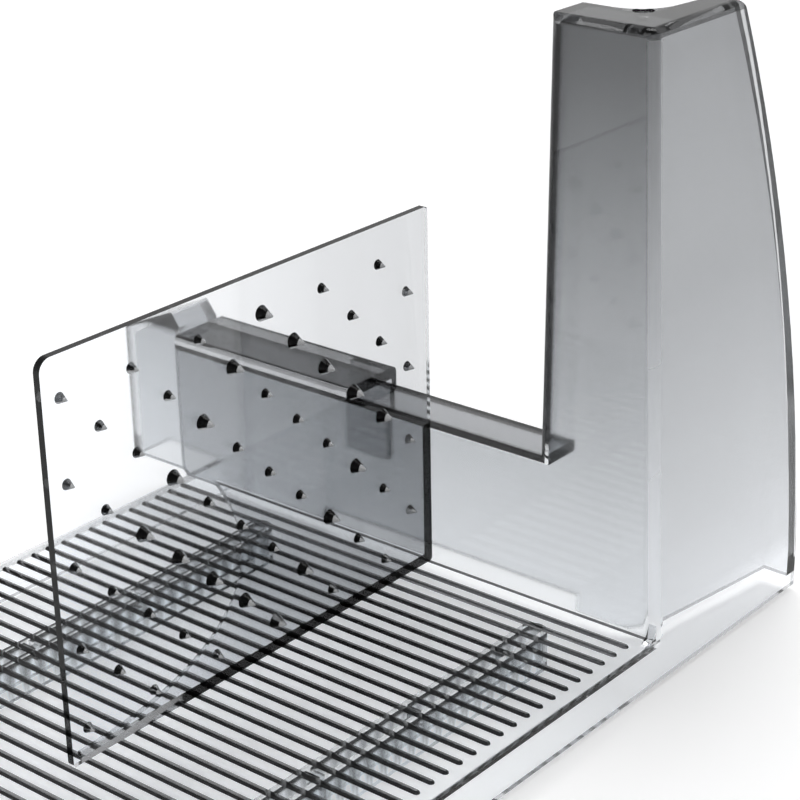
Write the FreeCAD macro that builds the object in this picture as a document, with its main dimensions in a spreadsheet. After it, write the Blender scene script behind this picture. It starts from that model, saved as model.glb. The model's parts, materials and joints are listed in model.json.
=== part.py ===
import FreeCAD, Part
import Sketcher
import math
import os
import re
from types import SimpleNamespace

# Electric meat slicer with a clear, lift-off food carriage.
# Millimetres, +Z up. X runs across the carriage towards the blade, +Y towards the operator.
# Sizes are written from the carriage's near right tray corner and the table top, and every
# node is then placed so that the model's origin is the middle of its footprint on the table.

V = FreeCAD.Vector
doc = FreeCAD.newDocument("MeatSlicer")
sheet = doc.addObject("Spreadsheet::Sheet", "Sizes")

SIZES = [
    # Food carriage: tray floor, ribs and skirt
    ("tray_width", 160.0, "tray across the carriage, along X"),
    ("tray_length", 150.0, "tray from its near corner to its far edge, along Y"),
    ("tray_top", 13.6, "tray floor above the table"),
    ("floor_thick", 3.0, "tray floor"),
    ("skirt_wall", 2.2, "skirt round the tray"),
    ("skirt_lift", 1.7, "skirt's lower edge above the table"),
    ("tray_round", 0.8, "edge of the tray's top"),
    ("rib_pitch", 5.0, "sliding ribs, centre to centre"),
    ("rib_radius", 0.85, "half-round rib"),
    ("rib_inset", 3.7, "rib ends from the tray's edge"),
    ("cove_radius", 1.0, "hollow between floor and wall"),
    # Food carriage: wall, ledge and end stop
    ("wall_front", 6.5, "wall's face behind the first rib"),
    ("wall_thick", 2.2, "wall and ledge"),
    ("ledge_rise", 39.6, "ledge above the tray floor"),
    ("ledge_depth", 15.5, "ledge, front to back"),
    ("ledge_round", 1.5, "edges of the ledge"),
    ("wall_overhang", 21.5, "wall past the tray's left edge"),
    ("overhang_lift", 1.0, "underside of that part above the tray floor"),
    ("stop_rise", 8.8, "end stop's highest place above the ledge"),
    ("stop_step", 4.9, "end stop's upright face above the ledge"),
    ("stop_lean", 3.0, "end stop's highest place left of that face"),
    ("stop_low", 1.0, "end stop's left end above the ledge"),
    # Food carriage: thumb guard
    ("guard_width", 36.6, "thumb guard across, at its foot"),
    ("guard_lean", 4.9, "right face leans in over the height"),
    ("guard_left_lean", 3.0, "left face leans in over the height"),
    ("guard_rise", 150.0, "thumb guard above the tray floor"),
    ("guard_wall", 2.2, "thumb guard's walls"),
    ("guard_foot_depth", 66.7, "front to back at the foot"),
    ("guard_knee_depth", 57.8, "front to back at the knee"),
    ("guard_knee_rise", 81.0, "knee above the tray floor"),
    ("guard_top_depth", 36.8, "front to back at the top"),
    ("guard_round", 2.5, "outside edges of the thumb guard"),
    ("guard_back_round", 4.5, "its left edge behind the ledge"),
    ("guard_lift", 4.6, "its inner walls' lower edges above the table"),
    ("fin_front", 17.6, "fin behind the guard, across at its front"),
    ("fin_back", 10.8, "fin across at its back"),
    ("fin_hollow", 9.0, "hollow between fin and guard"),
    ("corner_round", 4.5, "guard's right face into the skirt"),
    ("gate_radius", 2.6, "small hole in the guard's top"),
    ("gate_back", 14.2, "hole behind the wall's face"),
    ("gate_left", 17.6, "hole left of the tray's edge"),
    # Food carriage: runners below the floor
    ("runner_near", 28.9, "right runner's middle from the tray's edge"),
    ("runner_spacing", 93.3, "runners, centre to centre"),
    ("runner_width", 7.2, "runner, outside"),
    ("runner_wall", 1.5, "runner's wall"),
    ("runner_lift", 0.3, "runner's foot above the table"),
    ("runner_end", 0.9, "runner's near end from the first rib"),
    ("runner_far_gap", 5.0, "runner's far end from the tray's far edge"),
    ("web_first", 17.6, "first cross web from the first rib"),
    ("web_pitch", 34.0, "cross webs in a runner"),
    ("web_deep", 3.5, "cross web's depth"),
    # Remnant holder
    ("plate_from_edge", 69.2, "spiked face from the tray's right edge"),
    ("holder_wall", 1.9, "remnant holder's walls"),
    ("holder_gap", 0.5, "holder's clearance to the wall and ledge"),
    ("holder_lift", 1.1, "holder above the tray floor, clear of the ribs"),
    ("plate_width", 126.0, "spiked plate along Y"),
    ("plate_rise", 96.7, "spiked plate's height"),
    ("plate_round", 3.2, "upper far corner of the spiked plate"),
    ("plate_corner", 1.0, "its other corners"),
    ("saddle_thick", 3.2, "saddle over the ledge"),
    ("saddle_short", 27.3, "saddle starts this far left of the spiked face"),
    ("flap_length", 14.5, "hook behind the ledge, along X"),
    ("flap_drop", 26.2, "hook below the saddle's top"),
    ("web_thick", 2.0, "foot web"),
    ("web_radius", 140.5, "hollow edge of the foot web"),
    ("web_least", 2.8, "foot web at the plate's far corner"),
    ("spike_step_y", 10.2, "spikes, columns"),
    ("spike_step_z", 9.87, "spikes, rows"),
    ("spike_edge", 9.0, "first column from the plate's near edge"),
    ("spike_foot", 8.1, "lowest row from the plate's lower edge"),
    ("spike_height", 2.4, "small spikes stand proud"),
    ("spike_radius", 1.45, "small spike's foot"),
    ("spike_big_radius", 2.1, "large spike's foot"),
    # Base, carriage bed and feet
    ("start", 212.0, "machine's operator end from the tray corner, along -Y"),
    ("base_length", 378.0, "base along Y"),
    ("base_left", 8.0, "base's left side from the tray's edge"),
    ("base_width", 136.0, "base across"),
    ("base_thick", 10.0, "base's height without feet"),
    ("base_skin", 3.0, "base's skin"),
    ("base_round", 12.0, "base's corners"),
    ("foot_height", 4.0, "rubber foot below the base"),
    ("foot_radius", 8.0, "rubber foot"),
    ("foot_inset", 16.0, "foot's centre from the base's edges"),
    ("beam_depth", 22.0, "cross beam along Y"),
    ("screw_radius", 1.6, "screws' shanks"),
    ("screw_head", 2.6, "screws' heads"),
    ("screw_head_thick", 1.6, "screws' heads"),
    ("bed_screw_long", 12.0, "screws into the bed's end"),
    ("bed_start", 195.0, "bed's operator end from the tray corner"),
    ("bed_clear", 0.6, "bed's side to the runner"),
    ("bed_thick", 5.4, "bed's plate"),
    ("glide_thick", 0.8, "glide strip"),
    ("glide_width", 9.0, "glide strip"),
    ("glide_gap", 0.3, "glide strip to the tray's underside"),
    ("buffer_thick", 3.0, "rubber stop on the cross beam"),
    # Housing
    ("house_left", 26.0, "housing's blade side from the tray's edge"),
    ("house_split", 92.0, "joint between the two shells"),
    ("house_start", 380.0, "housing's operator end from the tray corner"),
    ("house_length", 192.0, "housing along Y"),
    ("house_rise", 156.0, "housing above the base"),
    ("house_wall", 3.0, "shell"),
    ("house_round", 30.0, "upper corners"),
    ("house_edge", 7.0, "edges of the blade and rear faces"),
    ("vent_count", 9.0, "air slots in the rear shell"),
    ("vent_pitch", 8.0, "air slots"),
    ("vent_wide", 3.5, "air slot"),
    ("vent_long", 46.0, "air slot"),
    ("house_screw_radius", 3.2, "housing screw's head"),
    # Blade and its drive
    ("blade_radius", 85.0, "blade"),
    ("blade_dip", 5.0, "blade's edge below the tray floor"),
    ("blade_gap", 2.0, "blade's face from the tray's edge"),
    ("blade_thick", 1.6, "blade"),
    ("blade_bevel", 4.0, "ground bevel"),
    ("dish_deep", 4.4, "dished middle"),
    ("dish_radius", 26.0, "dished middle"),
    ("blade_from_stop", 220.0, "blade's axis from the machine's operator end"),
    ("shaft_radius", 5.0, "blade shaft"),
    ("hub_radius", 23.0, "hub flange behind the blade"),
    ("hub_thick", 4.0, "hub flange"),
    ("boss_radius", 11.0, "hub boss through the housing"),
    ("cap_radius", 14.0, "blade lock"),
    ("cap_thick", 2.6, "blade lock"),
    ("gear_plane", 60.0, "worm wheel's middle from the tray's edge"),
    ("gear_width", 9.0, "worm wheel's teeth"),
    ("gear_teeth", 36.0, "worm wheel"),
    ("motor_rise", 35.6, "motor's axis above the base"),
    ("worm_radius", 8.0, "worm's pitch radius"),
    ("worm_length", 36.0, "thread"),
    ("tooth_slack", 0.45, "play on each flank"),
    ("motor_shaft_radius", 4.0, "motor shaft"),
    ("running_fit", 0.05, "shaft to bearing, on radius"),
    ("bearing_wall", 4.0, "bearing"),
    ("frame_wall", 5.0, "gear frame's plates"),
    ("frame_near", 28.0, "gear frame ahead of the blade's axis"),
    ("frame_far", 28.0, "gear frame behind the blade's axis"),
    ("frame_half", 24.0, "gear frame's plates from the worm wheel"),
    # Motor
    ("stator_radius", 27.0, "stator stack"),
    ("stator_bore", 15.6, "stator bore"),
    ("stator_length", 42.0, "stator stack"),
    ("stator_from_axis", 62.0, "stator's middle behind the blade's axis"),
    ("rotor_length", 40.0, "rotor core"),
    ("coil_reach", 5.5, "windings past the core"),
    ("commutator_from_stator", 27.0, "commutator's near end behind the stator's middle"),
    ("rear_plate_from_stator", 43.0, "rear bearing plate behind the stator's middle"),
    ("fan_from_stator", 52.0, "fan's near end behind the stator's middle"),
    ("rotor_radius", 15.0, "rotor"),
    ("rotor_slots", 12.0, "rotor"),
    ("commutator_radius", 9.0, "commutator"),
    ("commutator_length", 12.0, "commutator"),
    ("fan_radius", 24.0, "cooling fan"),
    ("fan_blades", 9.0, "cooling fan"),
    ("fan_thick", 9.0, "cooling fan"),
    ("brush_size", 6.0, "carbon brush, square"),
    # Blade guard
    ("ring_clear", 2.5, "guard ring round the blade"),
    ("ring_wall", 3.0, "guard ring"),
    ("ring_start", 62.0, "guard ring's first end, degrees above the operator side"),
    ("ring_sweep", 174.0, "guard ring, degrees"),
    ("ring_back", 30.0, "guard ring's back plate, inwards"),
    # Slice thickness
    ("stop_gap", 2.5, "stop plate's face from the tray's edge"),
    ("stop_thick", 3.0, "stop plate"),
    ("stop_lift", 1.4, "stop plate above the tray floor"),
    ("stop_height", 150.0, "stop plate"),
    ("stop_corner", 14.0, "stop plate's upper corner"),
    ("stop_travel", 15.0, "greatest slice"),
    ("stop_knob_turn", 270.0, "knob's turn for that, degrees"),
    ("bracket_thick", 4.0, "bracket on the stop plate"),
    ("guide_radius", 4.0, "guide rods"),
    ("guide_length", 50.0, "guide rods"),
    ("guide_spacing", 28.0, "guide rods"),
    ("guide_height", 50.0, "guide rods above the table"),
    ("gauge_left", 26.0, "gauge box from the tray's edge"),
    ("gauge_width", 54.0, "gauge box"),
    ("gauge_start", 14.0, "gauge box behind the machine's operator end"),
    ("gauge_depth", 50.0, "gauge box"),
    ("gauge_rise", 46.0, "gauge box above the base"),
    ("gauge_wall", 2.5, "gauge box"),
    ("gauge_round", 6.0, "gauge box's corners"),
    ("bush_length", 8.0, "guide bushes"),
    ("bush_wall", 2.2, "guide bushes"),
    ("spindle_height", 34.5, "knob's axis above the table"),
    ("spindle_from_left", 24.0, "knob's axis from the gauge box's left side"),
    ("pinion_teeth", 8.0, "knob's pinion"),
    ("rack_pitch", 2.5, "rack"),
    ("rack_width", 8.0, "rack"),
    ("rack_deep", 6.0, "rack's bar"),
    ("rack_length", 50.0, "rack"),
    ("knob_radius", 17.5, "thickness knob"),
    ("knob_thick", 14.0, "thickness knob"),
    ("dial_radius", 19.8, "dial ring behind the knob"),
    ("dial_thick", 1.2, "dial ring"),
    # Switches and inlet
    ("control_x", 118.0, "controls from the tray's edge"),
    ("rocker_drop", 10.0, "rocker below the start of the housing's upper corner"),
    ("rocker_wide", 14.0, "rocker"),
    ("rocker_tall", 22.0, "rocker"),
    ("rocker_deep", 8.0, "rocker"),
    ("rocker_gap", 0.6, "rocker in its bezel"),
    ("bezel_wall", 3.0, "rocker's bezel"),
    ("proud", 2.0, "bezel and collar stand proud"),
    ("button_drop", 35.0, "safety button below the rocker"),
    ("button_radius", 7.0, "safety button"),
    ("button_proud", 6.0, "safety button stands proud"),
    ("button_travel", 4.0, "safety button's press"),
    ("switch_deep", 16.0, "switch bodies"),
    ("bracket_half", 14.0, "switch bracket, half across"),
    ("bracket_sheet", 2.0, "switch bracket's sheet"),
    ("spring_wire", 0.7, "button spring"),
    ("spring_turns", 6.0, "button spring"),
    ("gland_radius", 7.0, "cord inlet"),
    ("gland_long", 12.0, "cord inlet"),
    ("gland_height", 48.0, "cord inlet above the table"),
    ("cord_radius", 3.6, "bore for the cord"),
    ("sheet_gap", 0.3, "general clearance between parts"),
]

for row, (alias, value, note) in enumerate(SIZES, start=1):
    sheet.set("A%d" % row, note)
    sheet.set("B%d" % row, str(value))
    sheet.setAlias("B%d" % row, alias)
doc.recompute()

ALIASES = {alias for alias, value, note in SIZES}
s = SimpleNamespace(**{alias: float(sheet.get(alias)) for alias in ALIASES})

# Places that several pieces share, as formulas of the sheet's cells
BASE_TOP = "(foot_height + base_thick)"
BLADE_Y = "(-start - blade_from_stop)"
BLADE_Z = "(tray_top - blade_dip + blade_radius)"
WORM_Z = "(foot_height + base_thick + motor_rise)"
SHAFT_X = "(blade_gap + dish_deep + blade_thick)"
BED_TOP = "(tray_top - floor_thick - glide_gap - glide_thick)"
BED_LEFT = "(-runner_near - runner_spacing + runner_width / 2 + bed_clear)"
BED_WIDTH = "(runner_spacing - runner_width - 2 * bed_clear)"
FAR_END = "(-start - base_length)"
STATOR_Y = "(-start - blade_from_stop - stator_from_axis)"
GAUGE_Y = "(-start - gauge_start - gauge_depth)"
SPINDLE_X = "(gauge_left + spindle_from_left)"
ROCKER_Z = "(foot_height + base_thick + house_rise - house_round - rocker_drop)"
BUTTON_Z = "(foot_height + base_thick + house_rise - house_round - rocker_drop - button_drop)"
MIDDLE_X = "((base_left + base_width - tray_width - wall_overhang) / 2)"
MIDDLE_Y = "((wall_front + guard_foot_depth - start - base_length) / 2)"

TURN = {
    "X": FreeCAD.Rotation(V(0, 1, 0), 90),
    "Y": FreeCAD.Rotation(V(1, 0, 0), -90),
    "Z": FreeCAD.Rotation(),
}
places = {}
nodes = {}


def formula(text):
    """The same formula with each cell's alias given its sheet's name."""
    return re.sub(r"[a-z][a-z_]*", lambda m: "Sizes." + m.group() if m.group() in ALIASES else m.group(), text)


def tie(thing, sizes):
    for path, text in sizes.items():
        thing.setExpression(path, formula(str(text)))


def put(thing, place):
    places[thing.Name] = place
    tie(thing, {"Placement.Base." + axis: text for axis, text in zip("xyz", place)})
    return thing


def node(thing, label):
    """Name a finished piece and move it from the tray corner's frame to the model's frame."""
    x, y, z = places.get(thing.Name, ("0", "0", "0"))
    put(thing, ("%s - %s" % (x, MIDDLE_X), "%s - %s" % (y, MIDDLE_Y), z))
    thing.Label = label
    nodes[label] = thing
    return thing


def block(name, low, span):
    thing = doc.addObject("Part::Box", name)
    tie(thing, dict(zip(("Length", "Width", "Height"), span)))
    return put(thing, low)


def rod(name, low, radius, length, axis="Z"):
    thing = doc.addObject("Part::Cylinder", name)
    thing.Placement = FreeCAD.Placement(V(), TURN[axis])
    tie(thing, {"Radius": radius, "Height": length})
    return put(thing, low)


def join(name, pieces):
    thing = doc.addObject("Part::MultiFuse", name)
    thing.Shapes = pieces
    thing.Refine = True
    return thing


def cut(name, base, tools):
    thing = doc.addObject("Part::Cut", name)
    thing.Base = base
    thing.Tool = tools[0] if len(tools) == 1 else join(name + "_tools", tools)
    thing.Refine = True
    return thing


def group(name, pieces):
    thing = doc.addObject("Part::Compound", name)
    thing.Links = pieces
    return thing


def tube(name, low, radius, bore, length, axis="Z"):
    outside = rod(name + "_outside", low, radius, length, axis)
    return cut(name, outside, [rod(name + "_bore", low, bore, length, axis)])


def plane_of(body, role):
    return [part for part in body.Origin.OriginFeatures if part.Role == role][0]


def outline(name, role, points):
    """A body whose sketch is the polygon through points, each coordinate tied to the sheet."""
    body = doc.addObject("PartDesign::Body", name)
    sketch = body.newObject("Sketcher::SketchObject", name + "_sketch")
    sketch.AttachmentSupport = [(plane_of(body, role), "")]
    sketch.MapMode = "FlatFace"
    count = len(points)
    guess = [V(10 * math.cos(math.tau * i / count), 10 * math.sin(math.tau * i / count), 0) for i in range(count)]
    for i in range(count):
        sketch.addGeometry(Part.LineSegment(guess[i], guess[(i + 1) % count]))
    for i in range(count):
        sketch.addConstraint(Sketcher.Constraint("Coincident", i, 2, (i + 1) % count, 1))
    for i, point in enumerate(points):
        for kind, text in zip(("DistanceX", "DistanceY"), point):
            place = sketch.addConstraint(Sketcher.Constraint(kind, -1, 1, i, 1, 1.0))
            sketch.setExpression("Constraints[%d]" % place, formula(str(text)))
    return body, sketch


def padded(name, role, points, thick, low=("0", "0", "0")):
    body, sketch = outline(name, role, points)
    pad = body.newObject("PartDesign::Pad", name + "_pad")
    pad.Profile = sketch
    tie(pad, {"Length": thick})
    sketch.Visibility = False
    return put(body, low)


def turned(name, points, low, axis="X", sweep="360"):
    """A body turned from a profile of (radius, place along the axis) points."""
    body, sketch = outline(name, "XZ_Plane", points)
    turning = body.newObject("PartDesign::Revolution", name + "_turning")
    turning.Profile = sketch
    turning.ReferenceAxis = (sketch, ["V_Axis"])
    tie(turning, {"Angle": sweep})
    sketch.Visibility = False
    body.Placement = FreeCAD.Placement(V(), TURN[axis])
    return put(body, low)


def rounded(name, low, span, rounds):
    """A body that starts as a box; rounds lists (radius, test), the test picking its edges."""
    body = doc.addObject("PartDesign::Body", name)
    feature = body.newObject("PartDesign::AdditiveBox", name + "_box")
    tie(feature, dict(zip(("Length", "Width", "Height"), span)))
    for turn, (radius, test) in enumerate(rounds):
        doc.recompute()
        shape = feature.Shape
        box = shape.BoundBox
        chosen = ["Edge%d" % (i + 1) for i, edge in enumerate(shape.Edges) if test(edge, box)]
        fillet = body.newObject("PartDesign::Fillet", "%s_round_%d" % (name, turn))
        fillet.Base = (feature, chosen)
        tie(fillet, {"Radius": radius})
        feature = fillet
    return put(body, low)


def along(axis):
    """Picks the straight edges parallel to an axis."""
    pointing = {"X": V(1, 0, 0), "Y": V(0, 1, 0), "Z": V(0, 0, 1)}[axis]

    def test(edge, box):
        straight = edge.Curve.TypeId == "Part::GeomLine"
        return straight and abs(edge.Curve.Direction.dot(pointing)) > 0.99

    return test


def box_between(x0, x1, y0, y1, z0, z1):
    return Part.makeBox(x1 - x0, y1 - y0, z1 - z0, V(x0, y0, z0))


def shaped(name, shape):
    thing = doc.addObject("Part::Feature", name)
    thing.Shape = shape
    return thing


def shaft(axis_point, direction, radius, length):
    return Part.makeCylinder(radius, length, axis_point, direction)


def straight_edges(shape, pointing, test):
    """Straight edges of a shape along a direction, whose middle passes the test."""
    found = []
    for edge in shape.Edges:
        if edge.Curve.TypeId != "Part::GeomLine":
            continue
        if abs(edge.Curve.Direction.dot(pointing)) < 0.97:
            continue
        if test(edge.CenterOfMass):
            found.append(edge)
    return found


# Food carriage

FLOOR_UNDER = s.tray_top - s.floor_thick
WALL_BACK = s.wall_front + s.ledge_depth
LEDGE_TOP = s.tray_top + s.ledge_rise
WALL_LEFT = -s.tray_width - s.wall_overhang


def guard_plan(inset):
    """Plan of the thumb guard: a box as deep as the ledge, with a fin behind its right side."""
    back = WALL_BACK - inset
    foot = s.wall_front + s.guard_foot_depth
    run = V(s.fin_front - s.fin_back, foot - WALL_BACK, 0).normalize()
    aside = V(run.y, -run.x, 0)
    near = V(-s.fin_front, WALL_BACK, 0) + aside * inset
    corner = near + run * ((back - near.y) / run.y)
    radius = s.fin_hollow + inset
    reach = radius * math.tan(math.radians(90) / 2 - math.atan2(run.x, run.y) / 2)
    first = corner - V(reach, 0, 0)
    last = corner + run * reach
    centre = first + V(0, radius, 0)
    middle = centre + (corner - centre).normalize() * radius
    far = last + run * (foot + 2 - last.y)
    front = s.wall_front - 1
    left = -s.guard_width - 1
    places = [last, far, V(1, far.y, 0), V(1, front, 0), V(left, front, 0), V(left, back, 0), first]
    lines = [Part.makeLine(a, b) for a, b in zip(places, places[1:])]
    return Part.Face(Part.Wire([Part.Arc(first, middle, last).toShape()] + lines))


def guard_solid(inset, floor):
    """The thumb guard's solid, or with an inset the hollow inside it."""
    top = s.tray_top + s.guard_rise - inset
    front = s.wall_front + inset
    foot_back = s.wall_front + s.guard_foot_depth - inset
    knee = V(0, s.wall_front + s.guard_knee_depth - inset, s.tray_top + s.guard_knee_rise)
    top_back = V(0, s.wall_front + s.guard_top_depth - inset, top)
    foot = V(0, foot_back, s.skirt_lift)
    corners = [foot, V(0, foot_back, floor), V(0, front, floor), V(0, front, top), top_back]
    if floor == s.skirt_lift:
        corners.pop(1)
    lines = [Part.makeLine(a, b) for a, b in zip(corners, corners[1:])]
    side = Part.Face(Part.Wire([Part.Arc(top_back, knee, foot).toShape()] + lines))
    side.translate(V(-s.guard_width - 1, 0, 0))
    side_prism = side.extrude(V(s.guard_width + 2, 0, 0))
    left = -s.guard_width + inset
    face = Part.makePolygon([
        V(left, 0, floor),
        V(-inset, 0, floor),
        V(-inset, 0, s.tray_top),
        V(-inset - s.guard_lean, 0, top),
        V(left + s.guard_left_lean, 0, top),
        V(left, 0, s.tray_top),
        V(left, 0, floor),
    ])
    front_prism = Part.Face(face).extrude(V(0, s.guard_foot_depth + s.wall_front + 2, 0))
    plan_prism = guard_plan(inset).extrude(V(0, 0, s.tray_top + s.guard_rise + 1))
    return side_prism.common(front_prism).common(plan_prism)


def capsule(start, length, radius):
    """A rod along X with round ends, its axis starting at a point."""
    a = V(-radius, 0, 0)
    b = V(0, 0, radius)
    c = V(length, 0, radius)
    d = V(length + radius, 0, 0)
    bend = radius * math.sqrt(0.5)
    edges = [
        Part.Arc(a, V(-bend, 0, bend), b).toShape(),
        Part.makeLine(b, c),
        Part.Arc(c, V(length + bend, 0, bend), d).toShape(),
        Part.makeLine(d, a),
    ]
    solid = Part.Face(Part.Wire(edges)).revolve(V(0, 0, 0), V(1, 0, 0), 360)
    solid.translate(start)
    return solid


def stadium(x, y_near, y_far, width, z0, z1):
    """An upright slab with round ends, long along Y."""
    r = width / 2
    near = y_near - r
    far = y_far + r
    body = box_between(x - r, x + r, far, near, z0, z1)
    ends = [Part.makeCylinder(r, z1 - z0, V(x, y, z0)) for y in (near, far)]
    return body.fuse(ends).removeSplitter()


def cove_prism(left, right, radius):
    """The hollow fillet between floor and wall, as the solid that fills the corner."""
    bend = radius * math.sqrt(0.5)
    inner = V(left, s.wall_front - radius, s.tray_top)
    outer = V(left, s.wall_front, s.tray_top + radius)
    middle = V(left, s.wall_front - radius + bend, s.tray_top + radius - bend)
    corner = V(left, s.wall_front, s.tray_top)
    return Part.Face(Part.Wire([
        Part.Arc(inner, middle, outer).toShape(),
        Part.makeLine(outer, corner),
        Part.makeLine(corner, inner),
    ])).extrude(V(right - left, 0, 0))


def stop_prism(inset):
    """The end stop at the ledge's left end: upright towards the holder, falling to the left."""
    left = WALL_LEFT + inset
    right = -s.tray_width - s.holder_gap - inset
    low = LEDGE_TOP - s.wall_thick - 1
    corners = [
        V(left, 0, low),
        V(right, 0, low),
        V(right, 0, LEDGE_TOP + s.stop_step - inset),
        V(right - s.stop_lean, 0, LEDGE_TOP + s.stop_rise - inset),
        V(left, 0, LEDGE_TOP + s.stop_low - inset),
    ]
    front = s.wall_front + inset
    face = Part.Face(Part.makePolygon(corners + corners[:1]))
    face.translate(V(0, front, 0))
    return face.extrude(V(0, s.ledge_depth - 2 * inset, 0))


def carriage_shape():
    side = V(0, 1, 0)
    across = V(1, 0, 0)
    tray = box_between(-s.tray_width, 0, -s.tray_length, s.wall_front + s.wall_thick, s.skirt_lift, s.tray_top)
    upper = straight_edges(tray, side, lambda p: p.z > s.tray_top - 1)
    upper += straight_edges(tray, across, lambda p: p.z > s.tray_top - 1 and p.y < -1)
    tray = tray.makeFillet(s.tray_round, upper)

    over = s.tray_top + s.overhang_lift
    wall = box_between(WALL_LEFT, -s.guard_width / 2, s.wall_front, WALL_BACK, over, LEDGE_TOP)
    wall = wall.makeFillet(s.ledge_round, straight_edges(wall, across, lambda p: p.z > LEDGE_TOP - 1))
    lower = box_between(-s.tray_width, -s.guard_width / 2, s.wall_front, WALL_BACK, s.skirt_lift, over)
    stop = stop_prism(0)
    rim = [edge for edge in stop.Edges if abs(edge.tangentAt(0).y) < 0.1 and edge.CenterOfMass.z > LEDGE_TOP + 1]
    stop = stop.makeFillet(s.ledge_round / 2, [edge for edge in rim if abs(edge.tangentAt(0).x) > 0.1])

    guard = guard_solid(0, s.skirt_lift)
    top = s.tray_top + s.guard_rise
    upright = V(0, 0, 1)
    sharp = straight_edges(guard, upright, lambda p: p.y < s.wall_front + 1 and p.z > s.tray_top + 1)
    sharp += straight_edges(guard, across, lambda p: p.z > top - 1)
    sharp += straight_edges(guard, side, lambda p: p.z > top - 1 and p.x > -s.fin_back)
    guard = guard.makeFillet(s.guard_round, sharp)

    body = tray.fuse([
        wall, lower, stop, guard, cove_prism(-s.tray_width, -s.guard_round, s.cove_radius),
        cove_prism(-s.skirt_wall, 0, s.corner_round)])
    wall_hollow = box_between(
        -s.tray_width + s.wall_thick, -s.fin_front, s.wall_front + s.wall_thick,
        WALL_BACK - s.wall_thick, 0, LEDGE_TOP - s.wall_thick)
    over_hollow = box_between(
        WALL_LEFT + s.wall_thick, -s.tray_width + s.wall_thick + 1, s.wall_front + s.wall_thick,
        WALL_BACK - s.wall_thick, s.tray_top, LEDGE_TOP - s.wall_thick)
    under = box_between(
        -s.tray_width + s.skirt_wall, -s.skirt_wall, -s.tray_length + s.skirt_wall,
        WALL_BACK - s.wall_thick, 0, FLOOR_UNDER)
    runner_x = [-s.runner_near, -s.runner_near - s.runner_spacing]
    tunnel = box_between(
        runner_x[1] + s.runner_width / 2, runner_x[0] - s.runner_width / 2,
        -s.tray_length - 1, s.wall_front + s.guard_foot_depth + 1, 0, FLOOR_UNDER)
    lift = box_between(
        -s.tray_width + s.skirt_wall, -s.guard_wall, s.wall_front + s.wall_thick,
        s.wall_front + s.guard_foot_depth + 1, 0, s.guard_lift)
    gate = Part.makeCylinder(
        s.gate_radius, 3 * s.guard_wall, V(-s.gate_left, s.wall_front + s.gate_back, top - 2 * s.guard_wall))
    body = body.cut([
        wall_hollow, over_hollow, stop_prism(s.wall_thick), under, guard_solid(s.guard_wall, 0), tunnel, lift, gate])

    added = []
    for x in runner_x:
        near = -s.runner_end
        far = -s.tray_length + s.runner_far_gap
        ring = stadium(x, near, far, s.runner_width, s.runner_lift, FLOOR_UNDER)
        hole = stadium(
            x, near - s.runner_wall, far + s.runner_wall, s.runner_width - 2 * s.runner_wall,
            s.runner_lift - 1, FLOOR_UNDER)
        added.append(ring.cut(hole))
        half = s.runner_width / 2 - s.runner_wall / 2
        for k in range(int((s.tray_length - s.web_first - s.runner_far_gap) / s.web_pitch) + 1):
            y = -s.web_first - k * s.web_pitch
            added.append(box_between(
                x - half, x + half, y - s.runner_wall / 2, y + s.runner_wall / 2,
                FLOOR_UNDER - s.web_deep, FLOOR_UNDER))
    rib_count = int((s.tray_length - s.rib_inset) / s.rib_pitch)
    for k in range(rib_count):
        start = V(-s.tray_width + s.rib_inset + s.rib_radius, -k * s.rib_pitch, s.tray_top)
        added.append(capsule(start, s.tray_width - 2 * (s.rib_inset + s.rib_radius), s.rib_radius))
    return body.fuse(added).removeSplitter()


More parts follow.
